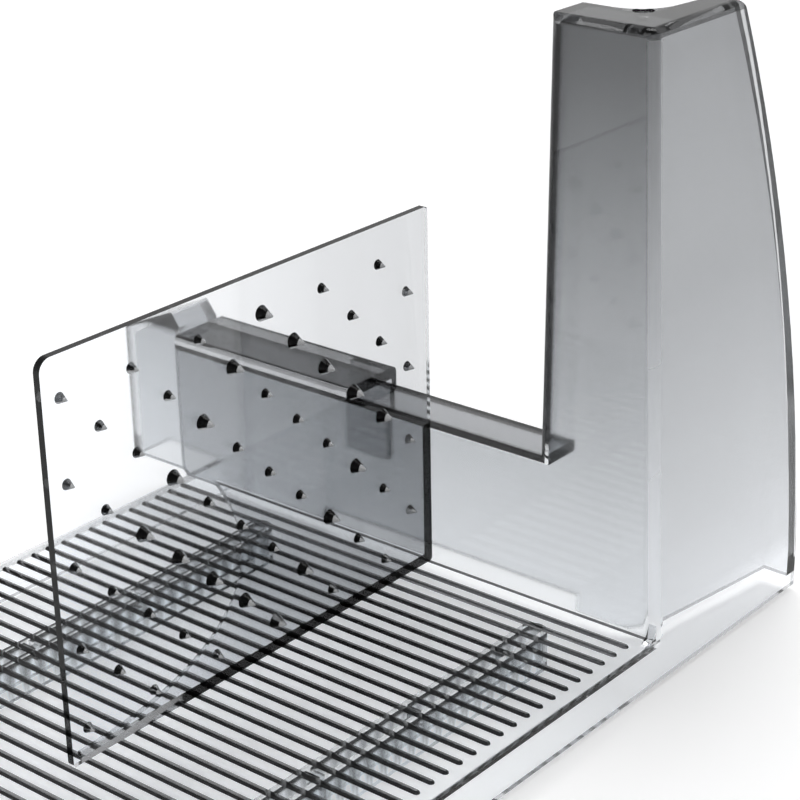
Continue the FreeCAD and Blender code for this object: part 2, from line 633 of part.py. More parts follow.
def holder_shape():
    """The remnant holder: spiked plate, side plate, saddle, hook and foot web, moulded in one."""
    front = -s.plate_from_edge
    right = s.wall_front - s.holder_gap
    inner = right - s.holder_wall
    far = right - s.plate_width
    low = s.tray_top + s.holder_lift
    plate = box_between(front - s.holder_wall, front, far, right, low, low + s.plate_rise)
    across = straight_edges(plate, V(1, 0, 0), lambda p: p.y < 0 and p.z > low + 1)
    plate = plate.makeFillet(s.plate_round, across)
    across = straight_edges(plate, V(1, 0, 0), lambda p: p.y > 0 or p.z < low + 1)
    plate = plate.makeFillet(s.plate_corner, across)
    left = -s.tray_width + s.holder_gap
    saddle_right = front - s.saddle_short
    under = LEDGE_TOP + s.holder_gap
    top = under + s.saddle_thick
    side = box_between(left, front - s.holder_wall / 2, inner, right, low, LEDGE_TOP)
    side_up = box_between(left, saddle_right, inner, right, low, top)
    flap_back = WALL_BACK + s.holder_gap + s.holder_wall
    saddle = box_between(left, saddle_right, inner, flap_back, under, top)
    flap = box_between(
        saddle_right - s.flap_length, saddle_right, flap_back - s.holder_wall, flap_back, top - s.flap_drop, top)
    hook = side_up.fuse([saddle, flap]).removeSplitter()
    crest = straight_edges(hook, V(1, 0, 0), lambda p: p.z > top - 0.1)
    hook = hook.makeFillet(s.holder_wall * 0.8, crest)
    ends = straight_edges(side, V(0, 1, 0), lambda p: p.z < low + 1 and p.x < left + 1)
    if ends:
        side = side.makeFillet(s.plate_round, ends)
        hook = hook.cut(box_between(left - 1, left + s.plate_round, inner - 1, right + 1, low - 1, low + s.plate_round))
    centre = V(front - s.web_least - s.web_radius, far, low - 1)
    web_left = centre.x + math.sqrt(s.web_radius ** 2 - (inner - far) ** 2)
    web = box_between(web_left, front - s.holder_wall / 2, far + s.plate_round, right, low, low + s.web_thick)
    web = web.cut(Part.makeCylinder(s.web_radius, s.web_thick + 2, centre))
    spikes = []
    middle_column = 5
    middle_row = 4
    ring = 4
    for column in range(2 * middle_column + 2):
        for row in range(2 * middle_row + 1):
            if (column + row) % 2 == 0:
                continue
            y = right - s.spike_edge - column * s.spike_step_y
            z = low + s.spike_foot + row * s.spike_step_z
            large = abs(column - middle_column) + abs(row - middle_row) == ring
            radius = s.spike_big_radius if large else s.spike_radius
            foot = 0.3
            reach = s.spike_height * radius / s.spike_radius
            spikes.append(Part.makeCone(radius, radius * 0.12, reach + foot, V(front - foot, y, z), V(1, 0, 0)))
    return plate.fuse([side, hook, web] + spikes).removeSplitter()


node(shaped("carriage", carriage_shape()), "food_carriage")
node(shaped("holder", holder_shape()), "remnant_holder")

# Base, feet and carriage bed

shell = rounded(
    "base_shell", ("base_left", FAR_END, "foot_height"),
    ("base_width", "base_length", "base_thick"), [("base_round", along("Z"))])
beam = block(
    "cross_beam", (BED_LEFT, FAR_END, "foot_height"),
    ("base_left + base_width / 2 - " + BED_LEFT, "beam_depth", "base_thick"))
beam_pocket = block(
    "beam_pocket", (BED_LEFT + " + base_skin", FAR_END + " + base_skin", "foot_height"),
    ("base_left + base_width / 2 - " + BED_LEFT, "beam_depth - 2 * base_skin", "base_thick - base_skin"))
pocket = block(
    "base_pocket", ("base_left + base_skin", FAR_END + " + base_skin", "foot_height"),
    ("base_width - 2 * base_skin", "base_length - 2 * base_skin", "base_thick - base_skin"))
hollow_base = cut("hollow_base", join("base_block", [shell, beam]), [pocket, beam_pocket])
FEET = [
    ("base_left + foot_inset", FAR_END + " + foot_inset"),
    ("base_left + base_width - foot_inset", FAR_END + " + foot_inset"),
    ("base_left + foot_inset", "-start - foot_inset"),
    ("base_left + base_width - foot_inset", "-start - foot_inset"),
    (BED_LEFT + " + foot_inset", FAR_END + " + beam_depth / 2"),
]
bosses = [
    rod("foot_boss_%d" % i, (x, y, "foot_height"), "foot_radius - base_skin / 2", "base_thick - base_skin")
    for i, (x, y) in enumerate(FEET)]
BED_SCREWS = [BED_LEFT + " + 32", BED_LEFT + " + " + BED_WIDTH + " - 12"]
SCREW_Y = "(-start - base_length + beam_depth - base_skin)"
SCREW_Z = "(tray_top - floor_thick - glide_gap - glide_thick - bed_thick / 2)"


def screw(name, low, length, axis="Y", radius="screw_radius", head="screw_head"):
    """A screw along an axis; low is the underside of its head, which points backwards."""
    shank = [("0", "0"), ("0", length), (radius, length), (radius, "0")]
    crown = [(head, "0"), (head, "-0.7 * screw_head_thick"), ("0.7 * " + head, "-screw_head_thick")]
    return turned(name, shank + crown + [("0", "-screw_head_thick")], low, axis)


bed_holes = [
    rod("bed_hole_%d" % i, (x, SCREW_Y, SCREW_Z), "screw_radius", "bed_screw_long", "Y")
    for i, x in enumerate(BED_SCREWS)]
node(cut("base", join("base_sum", [hollow_base] + bosses), bed_holes), "base_frame")
node(group("bed_screw_pair", [
    screw("bed_screw_%d" % i, (x, SCREW_Y, SCREW_Z), "bed_screw_long") for i, x in enumerate(BED_SCREWS)]),
    "bed_screws")
BED_FEET = [
    (BED_LEFT + " + foot_inset", "-bed_start - foot_inset"),
    (BED_LEFT + " + " + BED_WIDTH + " - foot_inset", "-bed_start - foot_inset"),
]
feet = [
    rod("foot_%d" % i, (x, y, "0"), "foot_radius", "foot_height")
    for i, (x, y) in enumerate(FEET)]
feet += [
    rod("bed_foot_%d" % i, (x, y, "0"), "foot_radius", BED_TOP + " - bed_thick")
    for i, (x, y) in enumerate(BED_FEET)]
node(group("feet", feet), "rubber_feet")
bed_slab = rounded(
    "bed_slab", (BED_LEFT, FAR_END + " + beam_depth", BED_TOP + " - bed_thick"),
    (BED_WIDTH, "start + base_length - bed_start - beam_depth", "bed_thick"),
    [("base_round", lambda edge, box: along("Z")(edge, box) and edge.CenterOfMass.y > box.YMax - 1)])
node(cut("bed", bed_slab, [
    rod("bed_end_hole_%d" % i, (x, SCREW_Y, SCREW_Z), "screw_radius", "bed_screw_long", "Y")
    for i, x in enumerate(BED_SCREWS)]), "carriage_bed")
glides = [
    block("glide_%d" % i, (x, FAR_END + " + beam_depth + buffer_thick", BED_TOP),
          ("glide_width", "start + base_length - bed_start - beam_depth - buffer_thick - base_round", "glide_thick"))
    for i, x in enumerate((BED_LEFT + " + 3", BED_LEFT + " + " + BED_WIDTH + " - glide_width - 3"))]
node(group("glides", glides), "glide_strips")
node(block(
    "buffer", (BED_LEFT + " + glide_width + 4", FAR_END + " + beam_depth", BED_TOP),
    (BED_WIDTH + " - 2 * glide_width - 8", "buffer_thick", "glide_thick + floor_thick + rib_radius")), "carriage_buffer")

# Housing in two shells

HOUSE_FAR = "(-house_start - house_length)"
ROCKER_Y = "(-house_start)"


def hollowed(body, wall, test):
    """Hollow a body inwards, leaving the faces that the test picks open."""
    doc.recompute()
    feature = body.Tip
    shape = feature.Shape
    box = shape.BoundBox
    faces = ["Face%d" % (i + 1) for i, face in enumerate(shape.Faces) if test(face.BoundBox, box)]
    hollow = body.newObject("PartDesign::Thickness", body.Name + "_hollow")
    hollow.Base = (feature, faces)
    hollow.Reversed = True
    hollow.Join = 1
    tie(hollow, {"Value": wall})
    return body


def upper_corner(edge, box):
    return along("X")(edge, box) and edge.CenterOfMass.z > box.ZMax - 1


front = rounded(
    "front_block", ("house_left", HOUSE_FAR, BASE_TOP),
    ("house_split - house_left", "house_length", "house_rise"), [
        ("house_round", upper_corner),
        ("house_edge", lambda e, b: e.BoundBox.XMax < b.XMin + 0.01 and e.BoundBox.ZMax > b.ZMin + 0.1),
    ])
hollowed(front, "house_wall", lambda f, b: f.ZMax < b.ZMin + 0.01 or f.XMin > b.XMax - 0.01)
rear = rounded(
    "rear_block", ("house_split", HOUSE_FAR, BASE_TOP),
    ("base_left + base_width - house_split", "house_length", "house_rise"), [
        ("house_round", upper_corner),
        ("house_edge", lambda e, b: e.BoundBox.XMin > b.XMax - 0.01 and e.BoundBox.ZMax > b.ZMin + 0.1),
    ])
hollowed(rear, "house_wall", lambda f, b: f.ZMax < b.ZMin + 0.01 or f.XMax < b.XMin + 0.01)

HIGH = "((house_round - house_wall - 4) * 0.7071)"
HOUSE_SCREWS = [
    ("-house_start - house_wall - 4", BASE_TOP + " + 14"),
    (HOUSE_FAR + " + house_wall + 4", BASE_TOP + " + 14"),
    ("-house_start - house_round + " + HIGH, BASE_TOP + " + house_rise - house_round + " + HIGH),
    (HOUSE_FAR + " + house_round - " + HIGH, BASE_TOP + " + house_rise - house_round + " + HIGH),
]
BOSS_LONG = "20"
REAR_FACE = "(base_left + base_width)"
front_bosses = []
rear_bosses = []
front_holes = []
rear_holes = []
house_screws = []
for i, (y, z) in enumerate(HOUSE_SCREWS):
    start = "house_split - " + BOSS_LONG
    length = REAR_FACE + " - house_split + " + BOSS_LONG
    front_bosses.append(rod("front_boss_%d" % i, (start, y, z), "5", BOSS_LONG, "X"))
    rear_bosses.append(rod("rear_boss_%d" % i, ("house_split", y, z), "5", REAR_FACE + " - house_split - 1", "X"))
    for holes, side in ((front_holes, "front"), (rear_holes, "rear")):
        holes.append(rod("%s_hole_%d" % (side, i), (start + " + 4", y, z), "screw_radius", length, "X"))
    rear_holes.append(rod(
        "head_hole_%d" % i, (REAR_FACE + " - 4", y, z), "house_screw_radius + sheet_gap", "5", "X"))
    shank = turned("house_screw_%d" % i, [
        ("0", "0"), ("0", length + " - 4 - 4 + screw_head_thick"),
        ("0.6 * house_screw_radius", length + " - 4 - 4 + screw_head_thick"),
        ("house_screw_radius", length + " - 4 - 4 + 0.7 * screw_head_thick"),
        ("house_screw_radius", length + " - 4 - 4"), ("screw_radius", length + " - 4 - 4"), ("screw_radius", "0"),
    ], (start + " + 4", y, z), "X")
    house_screws.append(shank)
boss_opening = rod(
    "boss_opening", ("house_left - 1", BLADE_Y, BLADE_Z), "boss_radius + 1.2", "house_wall + 2", "X")
GUARD_SCREWS = [75.0, 140.0, 205.0]
guard_middle = "(blade_radius + ring_clear + ring_wall - ring_back / 2)"


def on_ring(angle):
    """A place on the middle of the guard's back plate."""
    return (BLADE_Y + " + %s * cos(%g)" % (guard_middle, angle), BLADE_Z + " + %s * sin(%g)" % (guard_middle, angle))


guard_holes = [
    rod("guard_hole_%d" % i, ("house_left - ring_wall - 1", ) + on_ring(a), "screw_radius", "12", "X")
    for i, a in enumerate(GUARD_SCREWS)]
plate_holes = [
    rod("plate_hole_%d" % i, ("house_left - ring_wall - 1", ) + on_ring(a), "screw_radius", "12", "X")
    for i, a in enumerate(GUARD_SCREWS)]
node(cut(
    "front_shell", join("front_sum", [front] + front_bosses),
    front_holes + [boss_opening] + guard_holes), "housing_front_shell")
vents = [
    block("vent_%d" % i,
          (REAR_FACE + " - house_wall - 1", HOUSE_FAR + " + 34 + %d * vent_pitch" % i, BASE_TOP + " + 50"),
          ("house_wall + 2", "vent_wide", "vent_long")) for i in range(int(s.vent_count))]
BEZEL_WIDE = "(rocker_wide + 2 * rocker_gap)"
BEZEL_TALL = "(rocker_tall + 2 * rocker_gap)"
rocker_window = block(
    "rocker_window",
    ("control_x - %s / 2 - bezel_wall / 2" % BEZEL_WIDE, "-house_start - house_wall - 1",
     ROCKER_Z + " - %s / 2 - bezel_wall / 2" % BEZEL_TALL),
    (BEZEL_WIDE + " + bezel_wall", "house_wall + 2", BEZEL_TALL + " + bezel_wall"))
button_window = rod(
    "button_window", ("control_x", "-house_start - house_wall - 1", BUTTON_Z),
    "button_radius + 2.2", "house_wall + 2", "Y")
gland_window = rod(
    "gland_window", ("control_x", HOUSE_FAR + " - 1", "gland_height"), "gland_radius - 1.5", "house_wall + 2", "Y")
node(cut(
    "rear_shell", join("rear_sum", [rear] + rear_bosses),
    rear_holes + vents + [rocker_window, button_window, gland_window]), "housing_rear_shell")
node(group("house_screw_set", house_screws), "housing_screws")

# Blade guard

RING = "(blade_radius + ring_clear)"
ring_full = turned("ring_full", [
    (RING, "0"), (RING + " + ring_wall", "0"), (RING + " + ring_wall", "house_left - 0.9 * blade_gap"),
    (RING + " + ring_wall - ring_back", "house_left - 0.9 * blade_gap"),
    (RING + " + ring_wall - ring_back", "house_left - 0.9 * blade_gap - ring_wall"),
    (RING, "house_left - 0.9 * blade_gap - ring_wall"),
], ("0.9 * blade_gap", BLADE_Y, BLADE_Z))
REACH = "2 * blade_radius"
ring_gap = padded("ring_gap", "YZ_Plane", [
    ("0", "0"), (REACH + " * cos(ring_start)", REACH + " * sin(ring_start)"),
    ("3 * blade_radius", REACH + " * sin(ring_start)"), ("3 * blade_radius", "-3 * blade_radius"),
    (REACH + " * cos(ring_start + ring_sweep)", REACH + " * sin(ring_start + ring_sweep)"),
], "house_left + 4", ("-2", BLADE_Y, BLADE_Z))
node(cut("ring", ring_full, [ring_gap] + plate_holes), "blade_guard")
node(group("guard_screw_set", [
    screw("guard_screw_%d" % i, ("house_left - ring_wall", ) + on_ring(a), "ring_wall + house_wall", "X")
    for i, a in enumerate(GUARD_SCREWS)]), "guard_screws")

# Blade, its lock, shaft and worm wheel

BACK = "(dish_deep + blade_thick)"
DISH = "(dish_radius + 2 * dish_deep)"
node(turned("disc", [
    ("shaft_radius", "dish_deep"), ("shaft_radius", BACK), ("dish_radius", BACK), (DISH, "blade_thick"),
    ("blade_radius - blade_bevel", "blade_thick"), ("blade_radius", "0.1 * blade_thick"), ("blade_radius", "0"),
    (DISH, "0"), ("dish_radius", "dish_deep"),
], ("blade_gap", BLADE_Y, BLADE_Z)), "blade")
cap = turned("cap_disc", [
    ("0", "0"), ("cap_radius - 1", "0"), ("cap_radius", "1"), ("cap_radius", "cap_thick"), ("0", "cap_thick"),
], ("blade_gap + dish_deep - cap_thick", BLADE_Y, BLADE_Z))
grip = [
    rod("grip_%d" % i,
        ("blade_gap + dish_deep - cap_thick - 1", BLADE_Y + " + 8 * cos(%d)" % (i * 180), BLADE_Z), "2", "2.4", "X")
    for i in range(2)]
node(cut("cap", cap, grip), "blade_lock")
BUSH = "(frame_wall + 2)"
LEFT_BUSH = "(gear_plane - frame_half - frame_wall / 2 - 1)"
RIGHT_BUSH = "(gear_plane + frame_half - frame_wall / 2 - 1)"
SHAFT_START = "(blade_gap + dish_deep)"
node(turned("axle", [
    ("0", "0"), ("shaft_radius", "0"), ("shaft_radius", "blade_thick"), ("hub_radius", "blade_thick"),
    ("hub_radius", "blade_thick + hub_thick"), ("boss_radius", "blade_thick + hub_thick + 3"),
    ("boss_radius", LEFT_BUSH + " - sheet_gap - " + SHAFT_START),
    ("shaft_radius", LEFT_BUSH + " - sheet_gap - " + SHAFT_START),
    ("shaft_radius", RIGHT_BUSH + " + %s + 1 - %s" % (BUSH, SHAFT_START)),
    ("0", RIGHT_BUSH + " + %s + 1 - %s" % (BUSH, SHAFT_START)),
], (SHAFT_START, BLADE_Y, BLADE_Z)), "blade_shaft")

PRESSURE = math.tan(math.radians(20))
AXES_APART = s.tray_top - s.blade_dip + s.blade_radius - s.foot_height - s.base_thick - s.motor_rise
MODULE = 2 * (AXES_APART - s.worm_radius) / s.gear_teeth


def toothed(teeth, module, root, tip, slack, phase):
    """The outline of a toothed wheel, with one tooth's middle at the phase angle."""
    pitch = teeth * module / 2
    half = math.pi * module / 4 - slack
    points = []
    for k in range(teeth):
        middle = phase + math.tau * k / teeth
        at_root = (half + (pitch - root) * PRESSURE) / pitch
        at_tip = (half - (tip - pitch) * PRESSURE) / pitch
        for radius, angle in ((root, -at_root), (tip, -at_tip), (tip, at_tip), (root, at_root)):
            points.append(V(radius * math.cos(middle + angle), radius * math.sin(middle + angle), 0))
    return points


def wheel_wire(points, height, turn):
    c = math.cos(turn)
    d = math.sin(turn)
    moved = [V(p.x * c - p.y * d, p.x * d + p.y * c, height) for p in points]
    return Part.makePolygon(moved + moved[:1])


def worm_wheel_shape():
    """Worm wheel along its own Z, a gap facing local +X and the teeth leaning with the thread."""
    pitch = s.gear_teeth * MODULE / 2
    phase = math.pi / s.gear_teeth
    root = pitch - 1.2 * MODULE
    points = toothed(int(s.gear_teeth), MODULE, root, pitch + 0.925 * MODULE, s.tooth_slack, phase)
    lead = MODULE / (2 * s.worm_radius)
    twist = s.gear_width / 2 * lead / pitch
    half = s.gear_width / 2
    wheel = Part.makeLoft([wheel_wire(points, -half, -twist), wheel_wire(points, half, twist)], True, True)
    hub = Part.makeCylinder(2.2 * s.shaft_radius, s.gear_width + 10, V(0, 0, -half - 5))
    wheel = wheel.fuse(hub)
    ring = (2.2 * s.shaft_radius + root) / 2
    hole = (root - 2.2 * s.shaft_radius) / 4
    for k in range(6):
        a = math.tau * k / 6
        place = V(ring * math.cos(a), ring * math.sin(a), -half - 1)
        wheel = wheel.cut(Part.makeCylinder(hole, s.gear_width + 2, place))
    return wheel.cut(Part.makeCylinder(s.shaft_radius, s.gear_width + 12, V(0, 0, -half - 6)))


def worm_shape():
    """Motor shaft with the worm's thread, along its own Z from the near end."""
    pitch = math.pi * MODULE
    half = pitch / 4 - s.tooth_slack
    crest = s.worm_radius + 0.925 * MODULE
    root = s.worm_radius - 1.2 * MODULE
    sunk = root - 0.4
    turns = math.floor(s.worm_length / 2 / pitch)
    low = -turns * pitch
    corners = [
        V(sunk, 0, low - half - (s.worm_radius - sunk) * PRESSURE),
        V(crest, 0, low - half + (crest - s.worm_radius) * PRESSURE),
        V(crest, 0, low + half - (crest - s.worm_radius) * PRESSURE),
        V(sunk, 0, low + half + (s.worm_radius - sunk) * PRESSURE),
    ]
    helix = Part.makeHelix(pitch, 2 * turns * pitch, s.worm_radius)
    helix.translate(V(0, 0, low))
    profile = Part.makePolygon(corners + corners[:1])
    thread = Part.Wire(helix.Edges).makePipeShell([profile], True, True)
    thread.rotate(V(), V(0, 0, 1), -90)
    core = Part.makeCylinder(root, s.worm_length, V(0, 0, -s.worm_length / 2))
    far = s.stator_from_axis + s.fan_from_stator + s.fan_thick + 2
    shaft_part = Part.makeCylinder(s.motor_shaft_radius, far + s.frame_near + 2, V(0, 0, -far))
    return core.fuse([thread, shaft_part]).removeSplitter()


wheel = shaped("wheel", worm_wheel_shape())
wheel.Placement = FreeCAD.Placement(V(), TURN["X"])
node(put(wheel, ("gear_plane", BLADE_Y, BLADE_Z)), "worm_wheel")
worm = shaped("worm", worm_shape())
worm.Placement = FreeCAD.Placement(V(), TURN["Y"])
node(put(worm, ("gear_plane", BLADE_Y, WORM_Z)), "worm_shaft")

# Gear frame with its bushes

NEAR_Y = "(-start - blade_from_stop + frame_near)"
FAR_Y = "(-start - blade_from_stop - frame_far)"
FRAME_X = "(gear_plane - frame_half - frame_wall / 2)"
FRAME_WIDE = "(2 * frame_half + frame_wall)"
FRAME_LONG = "(frame_near + frame_far)"
sole = block("sole", (FRAME_X, FAR_Y, BASE_TOP), (FRAME_WIDE, FRAME_LONG, "frame_wall"))
uprights = [
    block("upright_%d" % i, (x, FAR_Y, BASE_TOP), ("frame_wall", FRAME_LONG, BLADE_Z + " + 14 - " + BASE_TOP))
    for i, x in enumerate((FRAME_X, FRAME_X + " + 2 * frame_half"))]
crosses = [
    block("cross_%d" % i, (FRAME_X, y, BASE_TOP), (FRAME_WIDE, "frame_wall", WORM_Z + " + 12 - " + BASE_TOP))
    for i, y in enumerate((NEAR_Y + " - frame_wall", FAR_Y))]
OUTER = "(shaft_radius + bearing_wall)"
MOTOR_OUTER = "(motor_shaft_radius + bearing_wall)"
frame_holes = [
    rod("upright_hole", (FRAME_X + " - 1", BLADE_Y, BLADE_Z), OUTER, FRAME_WIDE + " + 2", "X"),
    rod("cross_hole", ("gear_plane", FAR_Y + " - 1", WORM_Z), MOTOR_OUTER, FRAME_LONG + " + 2", "Y"),
]
node(cut("frame", join("frame_sum", [sole] + uprights + crosses), frame_holes), "gear_frame")
node(group("bushes", [
    tube("bush_%d" % i, (x, BLADE_Y, BLADE_Z), OUTER, "shaft_radius + running_fit", BUSH, "X")
    for i, x in enumerate((LEFT_BUSH, RIGHT_BUSH))]), "shaft_bushes")
REAR_PLATE = "(-start - blade_from_stop - stator_from_axis - rear_plate_from_stator - frame_wall)"
node(group("motor_bearing_set", [
    tube("motor_bearing_%d" % i, ("gear_plane", y, WORM_Z), MOTOR_OUTER, "motor_shaft_radius + running_fit",
         BUSH, "Y")
    for i, y in enumerate((NEAR_Y + " - frame_wall - 1", FAR_Y + " - 1", REAR_PLATE + " - 1"))]), "motor_bearings")

# Motor

core = rod("core_block", ("gear_plane", STATOR_Y + " - rotor_length / 2", WORM_Z), "rotor_radius", "rotor_length", "Y")
core_cuts = [
    rod("core_bore", ("gear_plane", STATOR_Y + " - rotor_length", WORM_Z), "motor_shaft_radius", "2 * rotor_length", "Y")]
for i in range(int(s.rotor_slots)):
    angle = 360 * i / s.rotor_slots
    core_cuts.append(rod("slot_%d" % i, (
        "gear_plane + (rotor_radius - 1.6) * cos(%g)" % angle, STATOR_Y + " - rotor_length",
        WORM_Z + " + (rotor_radius - 1.6) * sin(%g)" % angle), "2", "2 * rotor_length", "Y"))
node(cut("core", core, core_cuts), "rotor_core")
windings = [
    turned("winding_%d" % i, [
        ("motor_shaft_radius", "0"), ("rotor_radius - 2", "0"), ("rotor_radius - 1.5", "0.3 * coil_reach"),
        ("rotor_radius - 2", "0.8 * coil_reach"), ("rotor_radius - 4", "coil_reach"),
        ("motor_shaft_radius", "coil_reach"),
    ], ("gear_plane", y, WORM_Z), "Y")
    for i, y in enumerate((STATOR_Y + " + rotor_length / 2", STATOR_Y + " - rotor_length / 2 - coil_reach"))]
windings[1] = turned("winding_far", [
    ("motor_shaft_radius", "coil_reach"), ("rotor_radius - 2", "coil_reach"),
    ("rotor_radius - 1.5", "0.7 * coil_reach"), ("rotor_radius - 2", "0.2 * coil_reach"), ("rotor_radius - 4", "0"),
    ("motor_shaft_radius", "0"),
], ("gear_plane", STATOR_Y + " - rotor_length / 2 - coil_reach", WORM_Z), "Y")
wires = [
    rod("wire_%d" % i, (
        "gear_plane + (rotor_radius - 1.9) * cos(%g)" % (360 * i / s.rotor_slots), STATOR_Y + " - rotor_length / 2",
        WORM_Z + " + (rotor_radius - 1.9) * sin(%g)" % (360 * i / s.rotor_slots)), "1.6", "rotor_length", "Y")
    for i in range(int(s.rotor_slots))]
node(join("rotor_winding_sum", windings + wires), "rotor_windings")
COMMUTATOR_Y = "(-start - blade_from_stop - stator_from_axis - commutator_from_stator - commutator_length)"
bars = tube("bars", ("gear_plane", COMMUTATOR_Y, WORM_Z), "commutator_radius", "motor_shaft_radius",
            "commutator_length", "Y")
gaps = [
    block("bar_gap_%d" % i, ("0", "0", "0"), ("1", "commutator_length - 2", "0.5"))
    for i in range(int(s.rotor_slots))]
for i, gap in enumerate(gaps):
    angle = 360 * (i + 0.5) / s.rotor_slots
    gap.Placement = FreeCAD.Placement(V(), FreeCAD.Rotation(V(0, 1, 0), -angle))
    put(gap, ("gear_plane + (commutator_radius - 0.6) * cos(%g)" % angle, COMMUTATOR_Y + " - 0.5",
              WORM_Z + " + (commutator_radius - 0.6) * sin(%g)" % angle))
node(cut("commutator_bars", bars, gaps), "commutator")
FAN_Y = "(-start - blade_from_stop - stator_from_axis - fan_from_stator - fan_thick)"
fan_parts = [
    tube("fan_hub", ("gear_plane", FAN_Y, WORM_Z), "motor_shaft_radius + 3", "motor_shaft_radius", "fan_thick", "Y"),
    tube("fan_disc", ("gear_plane", FAN_Y + " + fan_thick - 1.5", WORM_Z), "fan_radius", "motor_shaft_radius",
         "1.5", "Y"),
]
for i in range(int(s.fan_blades)):
    angle = 360 * i / s.fan_blades
    vane = block("vane_%d" % i, ("0", "0", "0"), ("fan_radius - motor_shaft_radius - 3", "fan_thick", "1.5"))
    vane.Placement = FreeCAD.Placement(V(), FreeCAD.Rotation(V(0, 1, 0), -angle))
    put(vane, ("gear_plane + (motor_shaft_radius + 2) * cos(%g)" % angle, FAN_Y,
               WORM_Z + " + (motor_shaft_radius + 2) * sin(%g)" % angle))
    fan_parts.append(vane)
node(join("fan", fan_parts), "cooling_fan")

STATOR_FAR = "(-start - blade_from_stop - stator_from_axis - stator_length / 2)"
node(tube("stack", ("gear_plane", STATOR_FAR, WORM_Z), "stator_radius", "stator_bore", "stator_length", "Y"),
     "stator_core")
coil_profile = [
    ("stator_bore + 1", "0"), ("stator_radius - 2", "0"), ("stator_radius - 3.5", "coil_reach"),
    ("stator_bore + 2.5", "coil_reach"),
]
coils = [
    turned("coil_0", coil_profile, ("gear_plane", STATOR_FAR + " + stator_length", WORM_Z), "Y"),
    turned("coil_1", [(r, "coil_reach - %s" % h) for r, h in coil_profile],
           ("gear_plane", STATOR_FAR + " - coil_reach", WORM_Z), "Y"),
]
node(group("coils", coils), "stator_coils")
BRUSH_Y = "(-start - blade_from_stop - stator_from_axis - commutator_from_stator - commutator_length / 2)"
PLATE_FACE = "(-start - blade_from_stop - stator_from_axis - rear_plate_from_stator)"
holder_ring = tube("holder_ring", ("gear_plane", PLATE_FACE, WORM_Z), "stator_radius - 3", "commutator_radius + 3",
                   "2.5", "Y")
holder_boxes = []
holder_bores = []
brushes = []
for i, side in enumerate(("1", "-1")):
    start = "gear_plane + commutator_radius + 2" if side == "1" else "gear_plane - stator_radius + 3"
    long = "stator_radius - commutator_radius - 5"
    holder_boxes.append(block(
        "holder_box_%d" % i, (start, PLATE_FACE + " + 1", WORM_Z + " - brush_size / 2 - 2"),
        (long, BRUSH_Y + " + brush_size / 2 + 2 - " + PLATE_FACE + " - 1", "brush_size + 4")))
    holder_bores.append(block(
        "holder_bore_%d" % i, (start + " - 1", BRUSH_Y + " - brush_size / 2", WORM_Z + " - brush_size / 2"),
        (long + " + 2", "brush_size", "brush_size")))
    near = "gear_plane + commutator_radius + sheet_gap" if side == "1" else start + " + 1"
    brushes.append(block(
        "brush_%d" % i, (near, BRUSH_Y + " - brush_size / 2", WORM_Z + " - brush_size / 2"),
        (long + " + 1 - sheet_gap", "brush_size", "brush_size")))
node(cut("brush_holder", join("brush_holder_sum", [holder_ring] + holder_boxes), holder_bores), "brush_holder")
node(group("brush_pair", brushes), "carbon_brushes")

CRADLE_X = "(gear_plane - stator_radius + 4)"
CRADLE_WIDE = "(2 * stator_radius - 8)"
cradle_block = block(
    "cradle_block", (CRADLE_X, STATOR_FAR + " + 4", BASE_TOP),
    (CRADLE_WIDE, "stator_length - 8", WORM_Z + " - stator_radius * 0.55 - " + BASE_TOP))
rear_plate = block(
    "rear_plate", (CRADLE_X + " + 6", REAR_PLATE, BASE_TOP),
    (CRADLE_WIDE + " - 12", "frame_wall", WORM_Z + " + 12 - " + BASE_TOP))
cradle_sole = block(
    "cradle_sole", (CRADLE_X, REAR_PLATE, BASE_TOP),
    (CRADLE_WIDE, STATOR_FAR + " + stator_length - 4 - " + REAR_PLATE, "3"))
node(cut("cradle", join("cradle_sum", [cradle_block, rear_plate, cradle_sole]), [
    rod("cradle_bed", ("gear_plane", STATOR_FAR, WORM_Z), "stator_radius", "stator_length", "Y"),
    rod("rear_bore", ("gear_plane", REAR_PLATE + " - 1", WORM_Z), MOTOR_OUTER, "frame_wall + 2", "Y"),
]), "motor_cradle")
STRAP_Y = "(-start - blade_from_stop - stator_from_axis - 6)"
strap_ring = tube("strap_ring", ("gear_plane", STRAP_Y, WORM_Z), "stator_radius + 1.5", "stator_radius", "12", "Y")
strap_legs = [
    block("strap_leg_%d" % i, (x, STRAP_Y, BASE_TOP), ("1.5", "12", WORM_Z + " - " + BASE_TOP))
    for i, x in enumerate(("gear_plane - stator_radius - 1.5", "gear_plane + stator_radius"))]
strap_low = block(
    "strap_low", ("gear_plane - stator_radius - 3", STRAP_Y + " - 1", BASE_TOP),
    ("2 * stator_radius + 6", "14", WORM_Z + " - " + BASE_TOP))
strap_arch = cut("strap_arch", strap_ring, [strap_low])
strap_feet = [
    block("strap_foot_%d" % i, (x, STRAP_Y, BASE_TOP), ("5", "12", "1.5"))
    for i, x in enumerate(("gear_plane - stator_radius - 1.5", "gear_plane + stator_radius - 3.5"))]
node(join("strap", [strap_arch, strap_feet[0], strap_feet[1]] + strap_legs), "motor_strap")

# Slice thickness: stop plate, bracket, rods and rack

